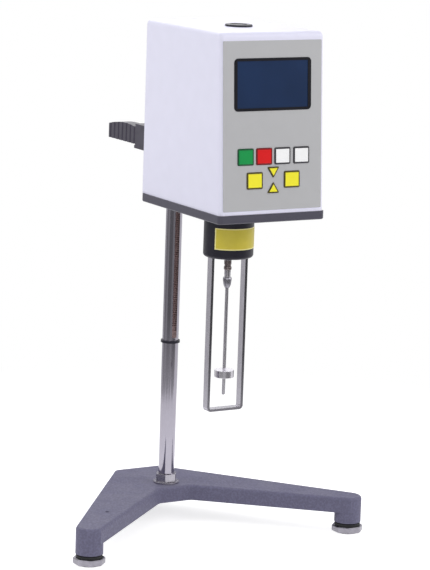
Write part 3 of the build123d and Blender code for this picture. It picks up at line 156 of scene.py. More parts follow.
class Effects:
    """The shader node groups that several finishes share, each built once."""

    vectors = ("Vector", "Stretch", "Normal")

    def __init__(self) -> None:
        """Starts with no group built."""
        self.built: dict[str, bpy.types.NodeTree] = {}

    def group(self, name: str, inputs: str, outputs: str, fill: Callable) -> bpy.types.NodeTree:
        """Returns a node group, and builds it the first time.

        Args:
            name: the group's name.
            inputs: the names of the input sockets.
            outputs: the names of the output sockets.
            fill: wires the group from its inputs and returns what each output gets.

        Returns:
            The group's node tree.
        """
        if name in self.built:
            return self.built[name]
        tree = bpy.data.node_groups.new(name, "ShaderNodeTree")
        for way, names in (("INPUT", inputs), ("OUTPUT", outputs)):
            for socket in names.split():
                kind = "Vector" if socket in self.vectors else "Float"
                tree.interface.new_socket(socket, in_out=way, socket_type=f"NodeSocket{kind}")
        wiring = Wiring(tree)
        start, end = tree.nodes.new("NodeGroupInput"), tree.nodes.new("NodeGroupOutput")
        for socket, value in fill(wiring, start.outputs).items():
            wiring.feed(end.inputs[socket], value)
        self.built[name] = tree
        return tree

    def grain(self) -> bpy.types.NodeTree:
        """Fine grain, drawn out along an axis by the stretch of its vector."""

        def fill(wiring: Wiring, given: Sockets) -> dict[str, object]:
            """Wires two sizes of noise into a height and a tone."""
            stretched = wiring.node(
                "ShaderNodeVectorMath",
                {0: given["Vector"], 1: given["Stretch"]},
                operation="MULTIPLY",
            ).outputs[0]
            fine = wiring.noise(stretched, given["Scale"], 4.0)
            wide = wiring.math("MULTIPLY", given["Scale"], 0.06)
            broad = wiring.noise(given["Vector"], wide, 2.0)
            height = wiring.math("MULTIPLY", wiring.math("SUBTRACT", fine, 0.5), 2.0)
            return {"Height": height, "Fine": fine, "Broad": wiring.remap(broad, (0.3, 0.7))}

        return self.group("grain", "Vector Scale Stretch", "Height Fine Broad", fill)

    def hammer(self) -> bpy.types.NodeTree:
        """The dimpled cells of a hammer finish, with pale rims and dark floors."""

        def fill(wiring: Wiring, given: Sockets) -> dict[str, object]:
            """Wires wandering cells into a height and two masks."""
            wander = wiring.node(
                "ShaderNodeTexNoise",
                {"Vector": given["Vector"], "Scale": wiring.math("MULTIPLY", given["Scale"], 0.8)},
            ).outputs[1]
            shift = wiring.node(
                "ShaderNodeVectorMath", {0: wander, "Scale": given["Wander"]}, operation="SCALE"
            ).outputs[0]
            moved = wiring.node(
                "ShaderNodeVectorMath", {0: given["Vector"], 1: shift}, operation="ADD"
            ).outputs[0]
            cells = wiring.node(
                "ShaderNodeTexVoronoi",
                {"Vector": moved, "Scale": given["Scale"], "Smoothness": 0.7},
                feature="SMOOTH_F1",
            ).outputs[0]
            small = wiring.math("MULTIPLY", given["Scale"], 1.7)
            flecks = wiring.noise(given["Vector"], small, 2.0)
            return {
                "Height": wiring.remap(cells, (0.1, 0.65)),
                "Rim": wiring.remap(cells, (0.35, 0.7)),
                "Fleck": wiring.remap(flecks, (0.56, 0.7)),
            }

        return self.group("hammer", "Vector Scale Wander", "Height Rim Fleck", fill)

    def edge(self) -> bpy.types.NodeTree:
        """A rounded normal at sharp edges, and a broken mask of where they rub."""

        def fill(wiring: Wiring, given: Sockets) -> dict[str, object]:
            """Wires the bevelled normal against the true one."""
            bevel = wiring.node("ShaderNodeBevel", {"Radius": given["Radius"]}, samples=6)
            soft = bevel.outputs[0]
            true = wiring.node("ShaderNodeNewGeometry").outputs["True Normal"]
            facing = wiring.node(
                "ShaderNodeVectorMath", {0: soft, 1: true}, operation="DOT_PRODUCT"
            ).outputs["Value"]
            turned = wiring.remap(facing, (0.995, 0.86))
            broken = wiring.remap(wiring.noise(given["Vector"], RUB_SCALE, 4.0), (0.42, 0.62))
            return {"Normal": soft, "Wear": wiring.math("MULTIPLY", turned, broken)}

        return self.group("edge", "Vector Radius", "Normal Wear", fill)

    def dust(self) -> bpy.types.NodeTree:
        """Light dust that settles on faces that look up."""

        def fill(wiring: Wiring, given: Sockets) -> dict[str, object]:
            """Wires the upward part of the normal with patchy noise."""
            normal = wiring.node("ShaderNodeNewGeometry").outputs["Normal"]
            up = wiring.node("ShaderNodeSeparateXYZ", {0: normal}).outputs[2]
            patches = wiring.remap(wiring.noise(given["Vector"], DUST_SCALE, 5.0), (0.35, 0.75))
            return {"Dust": wiring.math("MULTIPLY", wiring.remap(up, (0.6, 1.0)), patches)}

        return self.group("dust", "Vector", "Dust", fill)


EFFECTS = Effects()


class Lay(Enum):
    """Which way the marks of a metal's or a film's making run: how its grain is drawn out."""

    UP = (1.0, 1.0, 0.02)
    ACROSS = (0.02, 1.0, 1.0)
    FORE_AFT = (1.0, 0.02, 1.0)
    CAST = (1.0, 1.0, 1.0)


@dataclass(frozen=True)
class Finish:
    """What every finish has: a name, a colour, a gloss, softened edges and its share of dust."""

    name: str
    colour: Colour
    roughness: float = 0.4
    edge: float = 0.35 * MM
    specular: float = 0.5
    dusted: float = 0.05
    dust: Colour = srgb(196, 192, 186)

    def material(self) -> bpy.types.Material:
        """Returns the finish's material, and builds it the first time."""
        made = bpy.data.materials.get(self.name)
        if made is not None:
            return made
        made = bpy.data.materials.new(self.name)
        made.use_nodes = True
        made.diffuse_color = self.colour
        wiring = Wiring(made.node_tree)
        shader = made.node_tree.nodes["Principled BSDF"]
        vector = wiring.node("ShaderNodeTexCoord").outputs["Object"]
        shader.inputs["Base Color"].default_value = self.colour
        shader.inputs["Roughness"].default_value = self.roughness
        shader.inputs["Specular IOR Level"].default_value = self.specular
        self.wire(wiring, shader.inputs, vector)
        return made

    def wire(self, wiring: Wiring, shader: object, vector: object) -> None:
        """Wires what is special to the finish; a plain one has only softened edges.

        Args:
            wiring: the material's wiring.
            shader: the shader's inputs.
            vector: the object coordinates.
        """
        wiring.feed(shader["Normal"], self.edges(wiring, vector)["Normal"])

    def shade(self, factor: float) -> Colour:
        """Returns the finish's colour made darker or lighter by a factor."""
        return (*(min(1.0, part * factor) for part in self.colour[:3]), 1.0)

    def edges(self, wiring: Wiring, vector: object) -> Sockets:
        """Adds the edge group at this finish's edge radius and returns its outputs."""
        return self.use(wiring, EFFECTS.edge(), {"Vector": vector, "Radius": self.edge})

    def dusty(self, wiring: Wiring, vector: object, under: object) -> Socket:
        """Returns a colour with this finish's dust where it looks up."""
        mask = self.use(wiring, EFFECTS.dust(), {"Vector": vector})["Dust"]
        return self.over(wiring, mask, self.dusted, under, self.dust)

    @staticmethod
    def use(wiring: Wiring, tree: bpy.types.NodeTree, values: dict) -> Sockets:
        """Places a shared group in a material, fills its inputs and returns its outputs."""
        made = wiring.node("ShaderNodeGroup", node_tree=tree)
        for name, value in values.items():
            wiring.feed(made.inputs[name], value)
        return made.outputs

    @staticmethod
    def over(wiring: Wiring, mask: object, share: float, under: object, colour: object) -> Socket:
        """Returns a colour laid over another by a share of a mask."""
        return wiring.mix(wiring.math("MULTIPLY", mask, share), under, colour)

    @staticmethod
    def bump(wiring: Wiring, height: object, depth: float, normal: object) -> Socket:
        """Returns a normal raised by a height of the given depth in metres."""
        values = {"Height": height, "Strength": 1.0, "Distance": depth, "Normal": normal}
        return wiring.node("ShaderNodeBump", values).outputs[0]


@dataclass(frozen=True)
class Enamel(Finish):
    """Thick hammer-finish enamel over a rough casting."""

    cell: float = 1.8 * MM
    depth: float = 0.06 * MM
    rim: float = 1.10
    floor: float = 0.92
    wander: float = 0.8
    fleck: float = 1.4
    flecked: float = 0.22
    bare: Colour = srgb(176, 176, 184)
    bared: float = 0.30
    duller: float = 0.08
    coat: float = 0.06
    coat_rough: float = 0.3
    dusted: float = 0.10
    dust: Colour = srgb(190, 188, 184)

    def wire(self, wiring: Wiring, shader: object, vector: object) -> None:
        """Wires pale rims, dark floors, flecks, worn edges and a clear coat."""
        values = {"Vector": vector, "Scale": 1 / self.cell, "Wander": self.cell * self.wander}
        hammer = self.use(wiring, EFFECTS.hammer(), values)
        edges = self.edges(wiring, vector)
        low, high = self.shade(self.floor), self.shade(self.rim)
        cells = wiring.mix(hammer["Rim"], low, high)
        pale = self.shade(self.fleck)
        flecked = self.over(wiring, hammer["Fleck"], self.flecked, cells, pale)
        worn = self.over(wiring, edges["Wear"], self.bared, flecked, self.bare)
        wiring.feed(shader["Base Color"], self.dusty(wiring, vector, worn))
        shader["Coat Weight"].default_value = self.coat
        shader["Coat Roughness"].default_value = self.coat_rough
        gloss = (self.roughness + self.duller, self.roughness)
        wiring.feed(shader["Roughness"], wiring.remap(hammer["Rim"], (0, 1), gloss))
        normal = self.bump(wiring, hammer["Height"], self.depth, edges["Normal"])
        wiring.feed(shader["Normal"], normal)


@dataclass(frozen=True)
class Grained(Finish):
    """A finish with a fine grain and a slow drift of tone, which the next ones build on."""

    grain: float = 0.5 * MM
    depth: float = 0.01 * MM
    lay: Lay = Lay.CAST
    span: tuple[float, float] = (0.3, 0.7)

    def grained(self, wiring: Wiring, vector: object) -> Sockets:
        """Adds the grain group at this finish's size and lay and returns its outputs."""
        values = {"Vector": vector, "Scale": 1 / self.grain, "Stretch": self.lay.value}
        return self.use(wiring, EFFECTS.grain(), values)

    def drift(self, wiring: Wiring, grain: object, low: float, high: float):
        """Returns the finish's colour as it drifts between two shades."""
        return wiring.mix(grain["Broad"], self.shade(low), self.shade(high))

    def surface(
        self, wiring: Wiring, shader: object, grain: object, edges: object, low: float, high: float
    ) -> None:
        """Wires the grain into the roughness, from low to high, and into the normal."""
        wiring.feed(shader["Roughness"], wiring.remap(grain["Fine"], self.span, (low, high)))
        normal = self.bump(wiring, grain["Height"], self.depth, edges["Normal"])
        wiring.feed(shader["Normal"], normal)


@dataclass(frozen=True)
class Paint(Grained):
    """Sprayed or powder-coated sheet metal with a fine orange peel."""

    grain: float = 0.9 * MM
    depth: float = 0.012 * MM
    tone: float = 0.03
    rub: Colour = (0.5, 0.5, 0.52, 1.0)
    rubbed: float = 0.12
    smoother: float = 0.04
    rougher: float = 0.05

    def worn(self) -> Colour:
        """Returns the colour of a rubbed edge."""
        return self.rub

    def wire(self, wiring: Wiring, shader: object, vector: object) -> None:
        """Wires the grain, a slow drift of tone, rubbed edges and a little dust."""
        grain, edges = self.grained(wiring, vector), self.edges(wiring, vector)
        tone = self.drift(wiring, grain, 1 - self.tone, 1 + self.tone)
        rubbed = self.over(wiring, edges["Wear"], self.rubbed, tone, self.worn())
        wiring.feed(shader["Base Color"], self.dusty(wiring, vector, rubbed))
        low, high = self.roughness - self.smoother, self.roughness + self.rougher
        self.surface(wiring, shader, grain, edges, low, high)


@dataclass(frozen=True)
class Metal(Grained):
    """Bare or plated metal with the marks of its drawing, turning or casting."""

    grain: float = 0.35 * MM
    depth: float = 0.004 * MM
    span: tuple[float, float] = (0.25, 0.75)
    tarnish: float = 0.10
    mark: float = 0.8
    marked: float = 0.25
    rub: float = 1.3
    rubbed: float = 0.35
    smoothest: float = 0.75
    roughest: float = 1.3

    def wire(self, wiring: Wiring, shader: object, vector: object) -> None:
        """Wires the lay of the marks, a slight tarnish and bright rubbed edges."""
        grain, edges = self.grained(wiring, vector), self.edges(wiring, vector)
        tone = self.drift(wiring, grain, 1 - self.tarnish, 1.0)
        dark, pale = self.shade(self.mark), self.shade(self.rub)
        fine = self.over(wiring, grain["Fine"], self.marked, tone, dark)
        bright = self.over(wiring, edges["Wear"], self.rubbed, fine, pale)
        wiring.feed(shader["Base Color"], bright)
        wiring.feed(shader["Metallic"], 1.0)
        low, high = self.roughness * self.smoothest, self.roughness * self.roughest
        self.surface(wiring, shader, grain, edges, low, high)


@dataclass(frozen=True)
class Moulded(Paint):
    """Moulded plastic or rubber with a fine spark-eroded grain, polished where hands touch."""

    grain: float = 0.5 * MM
    depth: float = 0.015 * MM
    tone: float = 0.1
    rubbed: float = 0.25
    pale: float = 1.9
    smoother: float = 0.05
    rougher: float = 0.08
    dusted: float = 0.06
    dust: Colour = srgb(176, 172, 168)

    def worn(self) -> Colour:
        """Returns the colour of an edge that hands have polished."""
        return self.shade(self.pale)


@dataclass(frozen=True)
class Screen(Finish):
    """A blank dot-matrix display behind its glass."""

    pitch: float = 0.48 * MM
    glow: float = 0.10
    glass: float = 0.08
    glass_rough: float = 0.06
    patch: float = 24.0
    uneven: tuple[float, float] = (0.92, 1.1)
    gap: float = 0.72
    gapped: float = 0.28

    def wire(self, wiring: Wiring, shader: object, vector: object) -> None:
        """Wires the dots' faint grid and the back light, which is uneven in soft patches."""
        across, _, up = wiring.node("ShaderNodeSeparateXYZ", {0: vector}).outputs
        lines = []
        for along in (across, up):
            turn = wiring.math("MULTIPLY", along, 2 * math.pi / self.pitch)
            lines.append(wiring.remap(wiring.math("COSINE", turn), (0.55, 1.0)))
        grid = wiring.math("MAXIMUM", *lines)
        patches = wiring.remap(wiring.noise(vector, self.patch, 2.0), (0.3, 0.7))
        lit = wiring.mix(patches, *(self.shade(factor) for factor in self.uneven))
        dots = self.over(wiring, grid, self.gapped, lit, self.shade(self.gap))
        wiring.feed(shader["Base Color"], dots)
        wiring.feed(shader["Emission Color"], dots)
        shader["Emission Strength"].default_value = self.glow
        shader["Coat Weight"].default_value = self.glass
        shader["Coat Roughness"].default_value = self.glass_rough


@dataclass(frozen=True)
class Board(Finish):
    """A printed circuit board: tracks and pads under the mask."""

    track: float = 1.6 * MM
    raised: float = 0.05 * MM
    tracks: tuple[float, float] = (1.5, 2.2)
    pads: Colour = srgb(196, 190, 168)

    def wire(self, wiring: Wiring, shader: object, vector: object) -> None:
        """Wires square tracks and round pads."""
        tracks = wiring.node(
            "ShaderNodeTexBrick",
            {
                "Vector": vector,
                "Color1": self.colour,
                "Color2": self.shade(self.tracks[0]),
                "Mortar": self.shade(self.tracks[1]),
                "Scale": 1 / (self.track * 6),
                "Mortar Size": 0.03,
            },
        ).outputs[0]
        pads = wiring.node(
            "ShaderNodeTexVoronoi", {"Vector": vector, "Scale": 1 / (self.track * 2.5)}
        ).outputs[0]
        dots = wiring.remap(pads, (0.16, 0.2), (1.0, 0.0))
        wiring.feed(shader["Base Color"], wiring.mix(dots, tracks, self.pads))
        wiring.feed(shader["Metallic"], wiring.math("MULTIPLY", dots, 0.8))
        normal = self.bump(wiring, dots, self.raised, self.edges(wiring, vector)["Normal"])
        wiring.feed(shader["Normal"], normal)


@dataclass(frozen=True)
class Clear(Finish):
    """Clear moulded acrylic or the liquid in it."""

    ior: float = 1.47
    clarity: float = 0.95
    scratch: float = 900.0
    scratched: float = 0.06

    def wire(self, wiring: Wiring, shader: object, vector: object) -> None:
        """Sets the transmission and wires faint scratches into the gloss."""
        shader["Transmission Weight"].default_value = self.clarity
        shader["IOR"].default_value = self.ior
        scratches = wiring.noise(vector, self.scratch, 2.0)
        gloss = (self.roughness, self.roughness + self.scratched)
        wiring.feed(shader["Roughness"], wiring.remap(scratches, (0.4, 0.7), gloss))


def ink(name: str, colour: Colour, specular: float = 0.2) -> Paint:
    """Returns the finish of a printed line."""
    return Paint(name, colour, 0.42, 0.05 * MM, specular, depth=0.004 * MM)


def film(name: str, colour: Colour, specular: float, rubbed: float, tone: float) -> Moulded:
    """Returns the finish of a key."""
    return Moulded(name, colour, 0.32, 0.2 * MM, specular, rubbed=rubbed, tone=tone, dusted=0.01)


HAMMERTONE = Enamel("blue_grey_hammertone", srgb(112, 110, 134), 0.5, 0.8 * MM, specular=0.12)
WHITE_COAT = Paint(
    "lavender_white_powder_coat",
    srgb(236, 235, 253),
    0.34,
    tone=0.010,
    dusted=0.02,
    rub=srgb(200, 200, 214),
)
PLATE_PAINT = Paint("dark_grey_paint", srgb(72, 70, 84), rubbed=0.3)
CRACKLE = Paint("black_crackle_paint", srgb(44, 42, 50), 0.5, depth=0.04 * MM, specular=0.3)
CHROME = Metal("chrome_plate", srgb(166, 162, 173), 0.10, lay=Lay.UP, tarnish=0.04)
GUARD_STEEL = Metal("polished_steel_strip", srgb(172, 169, 178), 0.16, lay=Lay.UP)
TURNED = Metal("turned_steel", srgb(172, 169, 177), 0.24, 0.25 * MM, tarnish=0.12)
FOOT_STEEL = Metal("dull_foot_steel", srgb(158, 155, 164), 0.34, 0.25 * MM, tarnish=0.2)
DARK_STEEL = Metal("dark_turned_steel", srgb(126, 116, 116), 0.34, 0.15 * MM, tarnish=0.3)
KNURLED = Metal("knurled_steel", srgb(156, 154, 162), 0.30, 0.6 * MM, depth=0.05 * MM, tarnish=0.4)
SPINDLE_STEEL = Metal("ground_spindle_steel", srgb(214, 211, 218), 0.22, 0.1 * MM, lay=Lay.UP)
BLACKENED = Metal(
    "blackened_rack_steel", srgb(150, 128, 128), 0.36, 0.1 * MM, lay=Lay.ACROSS, rubbed=0.2
)
ALUMINIUM = Metal("plain_aluminium", srgb(190, 191, 194), 0.34, 0.2 * MM, lay=Lay.ACROSS)
BRASS = Metal("turned_brass", srgb(208, 176, 104), 0.28, 0.1 * MM)
BLACK_SATIN = Moulded("black_satin_plastic", srgb(38, 37, 47), 0.34, 0.3 * MM, specular=0.22)
HANDLE_BLACK = Moulded("black_grip_plastic", srgb(62, 58, 72), 0.42, 0.3 * MM, specular=0.35)
NYLON = Moulded("natural_nylon", srgb(232, 230, 222), 0.4, 0.2 * MM)
RUBBER = Moulded("matt_rubber", srgb(30, 30, 32), 0.75, 0.2 * MM, depth=0.03 * MM)
FILM = Paint(
    "grey_panel_film",
    srgb(184, 184, 186),
    0.36,
    0.1 * MM,
    depth=0.006 * MM,
    tone=0.012,
    rubbed=0.05,
)
BEZEL = Paint("black_display_frame", srgb(24, 24, 31), 0.16, 0.15 * MM, 0.12, depth=0.002 * MM)
DISPLAY = Screen("blank_blue_display", srgb(26, 46, 80), 0.12, specular=0.08)
PRINT_GREEN = ink("green_key_line", srgb(14, 84, 48))
PRINT_RED = ink("red_key_line", srgb(128, 16, 20))
PRINT_YELLOW = ink("yellow_key_line", srgb(84, 76, 30))
OUTLINE = ink("printed_key_outline", srgb(52, 50, 56), 0.3)
KEY_GREEN = film("green_key_film", srgb(10, 152, 74), 0.2, 0.1, 0.03)
KEY_RED = film("red_key_film", srgb(224, 16, 20), 0.2, 0.1, 0.03)
KEY_WHITE = film("white_key_film", srgb(254, 254, 254), 0.3, 0.0, 0.0)
KEY_YELLOW = film("yellow_key_film", srgb(252, 242, 46), 0.3, 0.0, 0.01)
MARK_WHITE = Moulded("white_mark", srgb(226, 226, 222), 0.4, 0.2 * MM, specular=0.3)
BOARD = Board("green_circuit_board", srgb(24, 92, 56), 0.35, 0.2 * MM)
VIAL = Clear("tinted_vial", srgb(46, 42, 60), 0.12, specular=0.1, ior=1.2, clarity=0.2)
LIQUID = Clear("vial_liquid", (0.30, 0.28, 0.36, 1.0), 0.02, ior=1.36)
LABEL_EDGE = Paint("label_border", srgb(250, 240, 160), 0.4, 0.05 * MM, depth=0.003 * MM)
LABEL_FIELD = Paint(
    "label_field", srgb(216, 199, 64), 0.38, 0.05 * MM, depth=0.003 * MM, tone=0.05
)


def dress(finish: Finish, nodes: Iterable[str]) -> None:
    """Gives CAD nodes a finish in place of the plain one that they were packed with.

    Args:
        finish: the finish.
        nodes: the names of the nodes.
    """
    material = finish.material()
    for name in nodes:
        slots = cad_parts[name].material_slots
        if not slots:
            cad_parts[name].data.materials.append(material)
        for held in slots:
            held.material = material
        LOG.info("%s dressed in %s", name, finish.name)


def select_all() -> None:
    """Selects the whole of the piece that is in edit mode."""
    bpy.ops.mesh.select_all(action="SELECT")


def bare() -> None:
    """Leaves nothing selected, so that an operator acts on the new piece alone."""
    bpy.ops.object.select_all(action="DESELECT")


def settle(name: str, finish: Finish, body: str, smooth: float | None = 30.0):
    """Names and finishes the active piece, and lets it ride on its body.

    Args:
        name: the piece's name.
        finish: its finish.
        body: the CAD body that carries it.
        smooth: angle below which its faces are shaded smooth, in degrees, or None for flat.

    Returns:
        The finished piece.
    """
    piece = bpy.context.active_object
    piece.name = piece.data.name = name
    if smooth is not None:
        bpy.ops.object.shade_smooth_by_angle(angle=math.radians(smooth))
    bpy.ops.object.transform_apply()
    piece.data.materials.clear()
    piece.data.materials.append(finish.material())
    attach(piece, body)
    LOG.info("%s made, rides on %s", name, body)
    return piece


def modify(kind: str, **settings: object) -> None:
    """Adds a modifier to the active piece and applies it.

    Args:
        kind: the modifier's type.
        settings: its properties.
    """
    piece = bpy.context.active_object
    added = piece.modifiers.new(kind.lower(), kind)
    for name, value in settings.items():
        setattr(added, name, value)
    bpy.ops.object.modifier_apply(modifier=added.name)


def shape(steps: Callable[[], None]) -> None:
    """Runs modelling steps on the active piece in edit mode."""
    bpy.ops.object.mode_set(mode="EDIT")
    steps()
    bpy.ops.object.mode_set(mode="OBJECT")


def pick(piece: bpy.types.Object, test: Callable[[Polygon], bool]) -> None:
    """Selects the faces of a piece in edit mode that pass a test, and no others.

    Args:
        piece: the piece, which is the active one.
        test: says of a face whether it is picked.
    """
    bpy.context.tool_settings.mesh_select_mode = FACES
    bpy.ops.mesh.select_all(action="DESELECT")
    bpy.ops.object.mode_set(mode="OBJECT")
    for side in piece.data.polygons:
        side.select = test(side)
    bpy.ops.object.mode_set(mode="EDIT")


def ease(width: float, segments: int = 2) -> None:
    """Rounds the sharp edges of the active piece."""
    modify("BEVEL", width=width, segments=segments, limit_method="ANGLE", angle_limit=EASED_ABOVE)


def washer(radius: float, line: float, place: Point = (0, 0, 0)) -> None:
    """Makes a thin flat ring with eased edges and leaves it active.

    Args:
        radius: the ring's middle radius.
        line: half of its width, and of its height.
        place: the ring's middle.
    """
    across, along, up = place
    bare()
    bpy.ops.mesh.primitive_circle_add(
        vertices=48, radius=radius + line, fill_type="NGON", location=(across, along, up + line)
    )

    def steps() -> None:
        """Opens the disc and draws the ring down."""
        select_all()
        bpy.ops.mesh.inset(thickness=2 * line)
        bpy.ops.mesh.delete(type="FACE")
        select_all()
        bpy.ops.mesh.extrude_region_move(TRANSFORM_OT_translate={"value": (0, 0, -2 * line)})
        select_all()
        bpy.ops.mesh.normals_make_consistent(inside=False)

    shape(steps)
    ease(line / 2)


def middle(node: str) -> Vector:
    """Returns the middle of a CAD node's box."""
    low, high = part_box(node)
    return (low + high) / 2


@dataclass
class Stand:
    """The base casting with its column, rack, ring and nuts."""

    feet: tuple[str, ...] = ("left", "right", "rear")
    sleeve_radius: float = 12.6 * MM
    stud_radius: float = 4.1 * MM
    sleeve_low: float = 6.8 * MM
    sleeve_high: float = 9.6 * MM
    sleeve_round: float = 0.3 * MM

    def build(self) -> None:
        """Dresses the casting, the column and the feet, and slips the sleeves on."""
        dress(HAMMERTONE, ("base_casting",))
        dress(CHROME, ("column",))
        dress(BLACKENED, ("column_rack", "rack_screws"))
        dress(BLACK_SATIN, ("stop_ring",))
        dress(TURNED, ("column_washer", "column_nut", "lock_nut"))
        for foot in self.feet:
            dress(FOOT_STEEL, (f"levelling_foot_{foot}",))
            dress(RUBBER, (f"foot_pad_{foot}",))
            self.sleeve(foot)

    def sleeve(self, foot: str) -> None:
        """Slips a black sleeve over the shoulder of one foot's stud.

        Args:
            foot: the foot's place.
        """
        axis = middle(f"levelling_foot_{foot}")
        bare()
        bpy.ops.mesh.primitive_cylinder_add(
            vertices=64,
            radius=self.sleeve_radius,
            depth=self.sleeve_high - self.sleeve_low,
            location=(axis.x, axis.y, (self.sleeve_high + self.sleeve_low) / 2),
        )

        def steps() -> None:
            """Opens the sleeve for the stud and rounds its rims."""
            pick(bpy.context.active_object, lambda side: abs(side.normal.z) > 0.5)
            bpy.ops.mesh.inset(thickness=self.sleeve_radius - self.stud_radius, depth=0)
            bpy.ops.mesh.bridge_edge_loops()

        shape(steps)
        ease(self.sleeve_round, 3)
        settle(f"foot_sleeve_{foot}", RUBBER, f"foot_{foot}", 30.0)


@dataclass
class LiftCarriage:
    """The carriage that climbs the column, with its knob, lever and clamp."""

    def build(self) -> None:
        """Dresses the carriage and its controls."""
        dress(CRACKLE, ("lift_carriage",))
        dress(NYLON, ("slide_bushes", "brake_pad"))
        dress(TURNED, ("lift_pinion",))
        dress(HANDLE_BLACK, ("brake_lever",))
        dress(BLACK_SATIN, ("lift_knob", "clamp_screw"))
        dress(CHROME, ("mounting_rod",))
        dress(ALUMINIUM, ("rod_bracket",))


@dataclass
class FrontPanel:
    """The leaning panel: film, display, keys and the printed outline round each key."""

    keys: tuple[tuple[str, Finish, Finish], ...] = (
        ("key_green", KEY_GREEN, PRINT_GREEN),
        ("key_red", KEY_RED, PRINT_RED),
        ("key_white_left", KEY_WHITE, OUTLINE),
        ("key_white_right", KEY_WHITE, OUTLINE),
        ("key_yellow_left", KEY_YELLOW, PRINT_YELLOW),
        ("key_yellow_right", KEY_YELLOW, PRINT_YELLOW),
        ("key_arrow_down", KEY_YELLOW, PRINT_YELLOW),
        ("key_arrow_up", KEY_YELLOW, PRINT_YELLOW),
    )
    line: float = 1.0 * MM
    arrow_line: float = 0.8 * MM
    print_thick: float = 0.05 * MM
    print_wrap: float = 2.4 * MM
    weld: float = 0.005 * MM
    flat: float = math.radians(2)
    front_depth: float = 2 * MM

    def outline(self, node: str, finish: Finish) -> None:
        """Prints the dark line round the edge of one key's face, over its chamfer.

        Args:
            node: the key.
            finish: the line's finish.
        """
        bare()
        piece = bpy.data.objects.new(node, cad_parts[node].data.copy())
        bpy.context.scene.collection.objects.link(piece)
        bpy.context.view_layer.objects.active = piece
        piece.select_set(True)
        bpy.context.tool_settings.mesh_select_mode = FACES
        front = min(piece.data.vertices, key=lambda corner: corner.co.y)
        ahead = max(piece.data.polygons, key=lambda side: self.reach(side, front.co)).normal.copy()
        level = max(corner.co.dot(ahead) for corner in piece.data.vertices)

        def steps() -> None:
            """Keeps the face, its chamfer and the top of its sides, and opens the face."""
            select_all()
            bpy.ops.mesh.remove_doubles(threshold=self.weld)
            bpy.ops.mesh.bisect(
                plane_co=ahead * (level - self.print_wrap), plane_no=ahead, clear_inner=True
            )
            select_all()
            bpy.ops.mesh.dissolve_limited(angle_limit=self.flat)
            pick(piece, lambda side: side.normal.dot(ahead) > 0.99)
            line = self.arrow_line if "arrow" in node else self.line
            bpy.ops.mesh.inset(thickness=line, depth=0)
            bpy.ops.mesh.delete(type="FACE")

        shape(steps)
        modify("SOLIDIFY", thickness=self.print_thick, offset=1.0)
        settle(f"{node}_outline", finish, f"{node}_cap", None)

    def reach(self, side: Polygon, corner: Vector) -> float:
        """Returns how surely a face is the key's flat front: its area, if it looks forward."""
        ahead = side.normal.y < -0.9 and side.center.y < corner.y + self.front_depth
        return side.area if ahead else 0.0

    def build(self) -> None:
        """Dresses the panel and prints the outlines."""
        dress(FILM, ("panel_overlay",))
        dress(BEZEL, ("display_bezel",))
        dress(DISPLAY, ("display_module",))
        dress(BOARD, ("keypad_board",))
        for node, finish, line_finish in self.keys:
            dress(finish, (node,))
            self.outline(node, line_finish)


@dataclass
class Head:
    """The housing, its base plate and what it holds."""

    mark_radius: float = 1.8 * MM
    mark_line: float = 0.3 * MM
    mark_off: float = 4.2 * MM
    mark_proud: float = 0.3
    probe: float = 10 * MM

    def mark(self, name: str, up: float) -> None:
        """Prints one of the rocker's two marks, a ring for off or a bar for on.

        Args:
            name: the mark's name.
            up: how far above the rocker's middle it sits.
        """
        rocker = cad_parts["switch_rocker"]
        spot = middle("switch_rocker")
        start = Vector((spot.x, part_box("switch_rocker")[1].y + self.probe, spot.z + up))
        hit, place, normal, _ = rocker.ray_cast(start, Vector((0, -1, 0)))
        if not hit:
            raise ValueError(f"no rocker face for {name}")
        bare()
        if name == "rocker_off_mark":
            washer(self.mark_radius, self.mark_line)
        else:
            bpy.ops.mesh.primitive_cylinder_add(
                vertices=8,
                radius=self.mark_line,
                depth=2 * self.mark_radius,
                rotation=(math.pi / 2, 0, 0),
            )
            ease(self.mark_line / 2)
        mark = bpy.context.active_object
        bpy.ops.object.transform_apply()
        turn = normal.to_track_quat("Z", "Y").to_matrix().to_4x4()
        flat = Matrix.Diagonal((1, 1, self.mark_proud, 1))
        mark.matrix_world = Matrix.Translation(place) @ turn @ flat
        settle(name, MARK_WHITE, "rocker", 40.0)

    def build(self) -> None:
        """Dresses the housing and the works inside it."""
        self.mark("rocker_on_mark", self.mark_off)
        self.mark("rocker_off_mark", -self.mark_off)
        dress(WHITE_COAT, ("housing_cover", "rear_panel"))
        dress(PLATE_PAINT, ("base_plate",))
        dress(BLACK_SATIN, ("switch_body", "switch_rocker", "power_inlet"))
        dress(TURNED, ("serial_port", "panel_screws", "motor", "drive_bearing"))
        dress(ALUMINIUM, ("chassis_posts", "motor_plate"))
        dress(BRASS, ("motor_pinion", "drive_gear"))
        dress(BLACKENED, ("hairspring",))
        dress(BOARD, ("main_board", "power_board"))


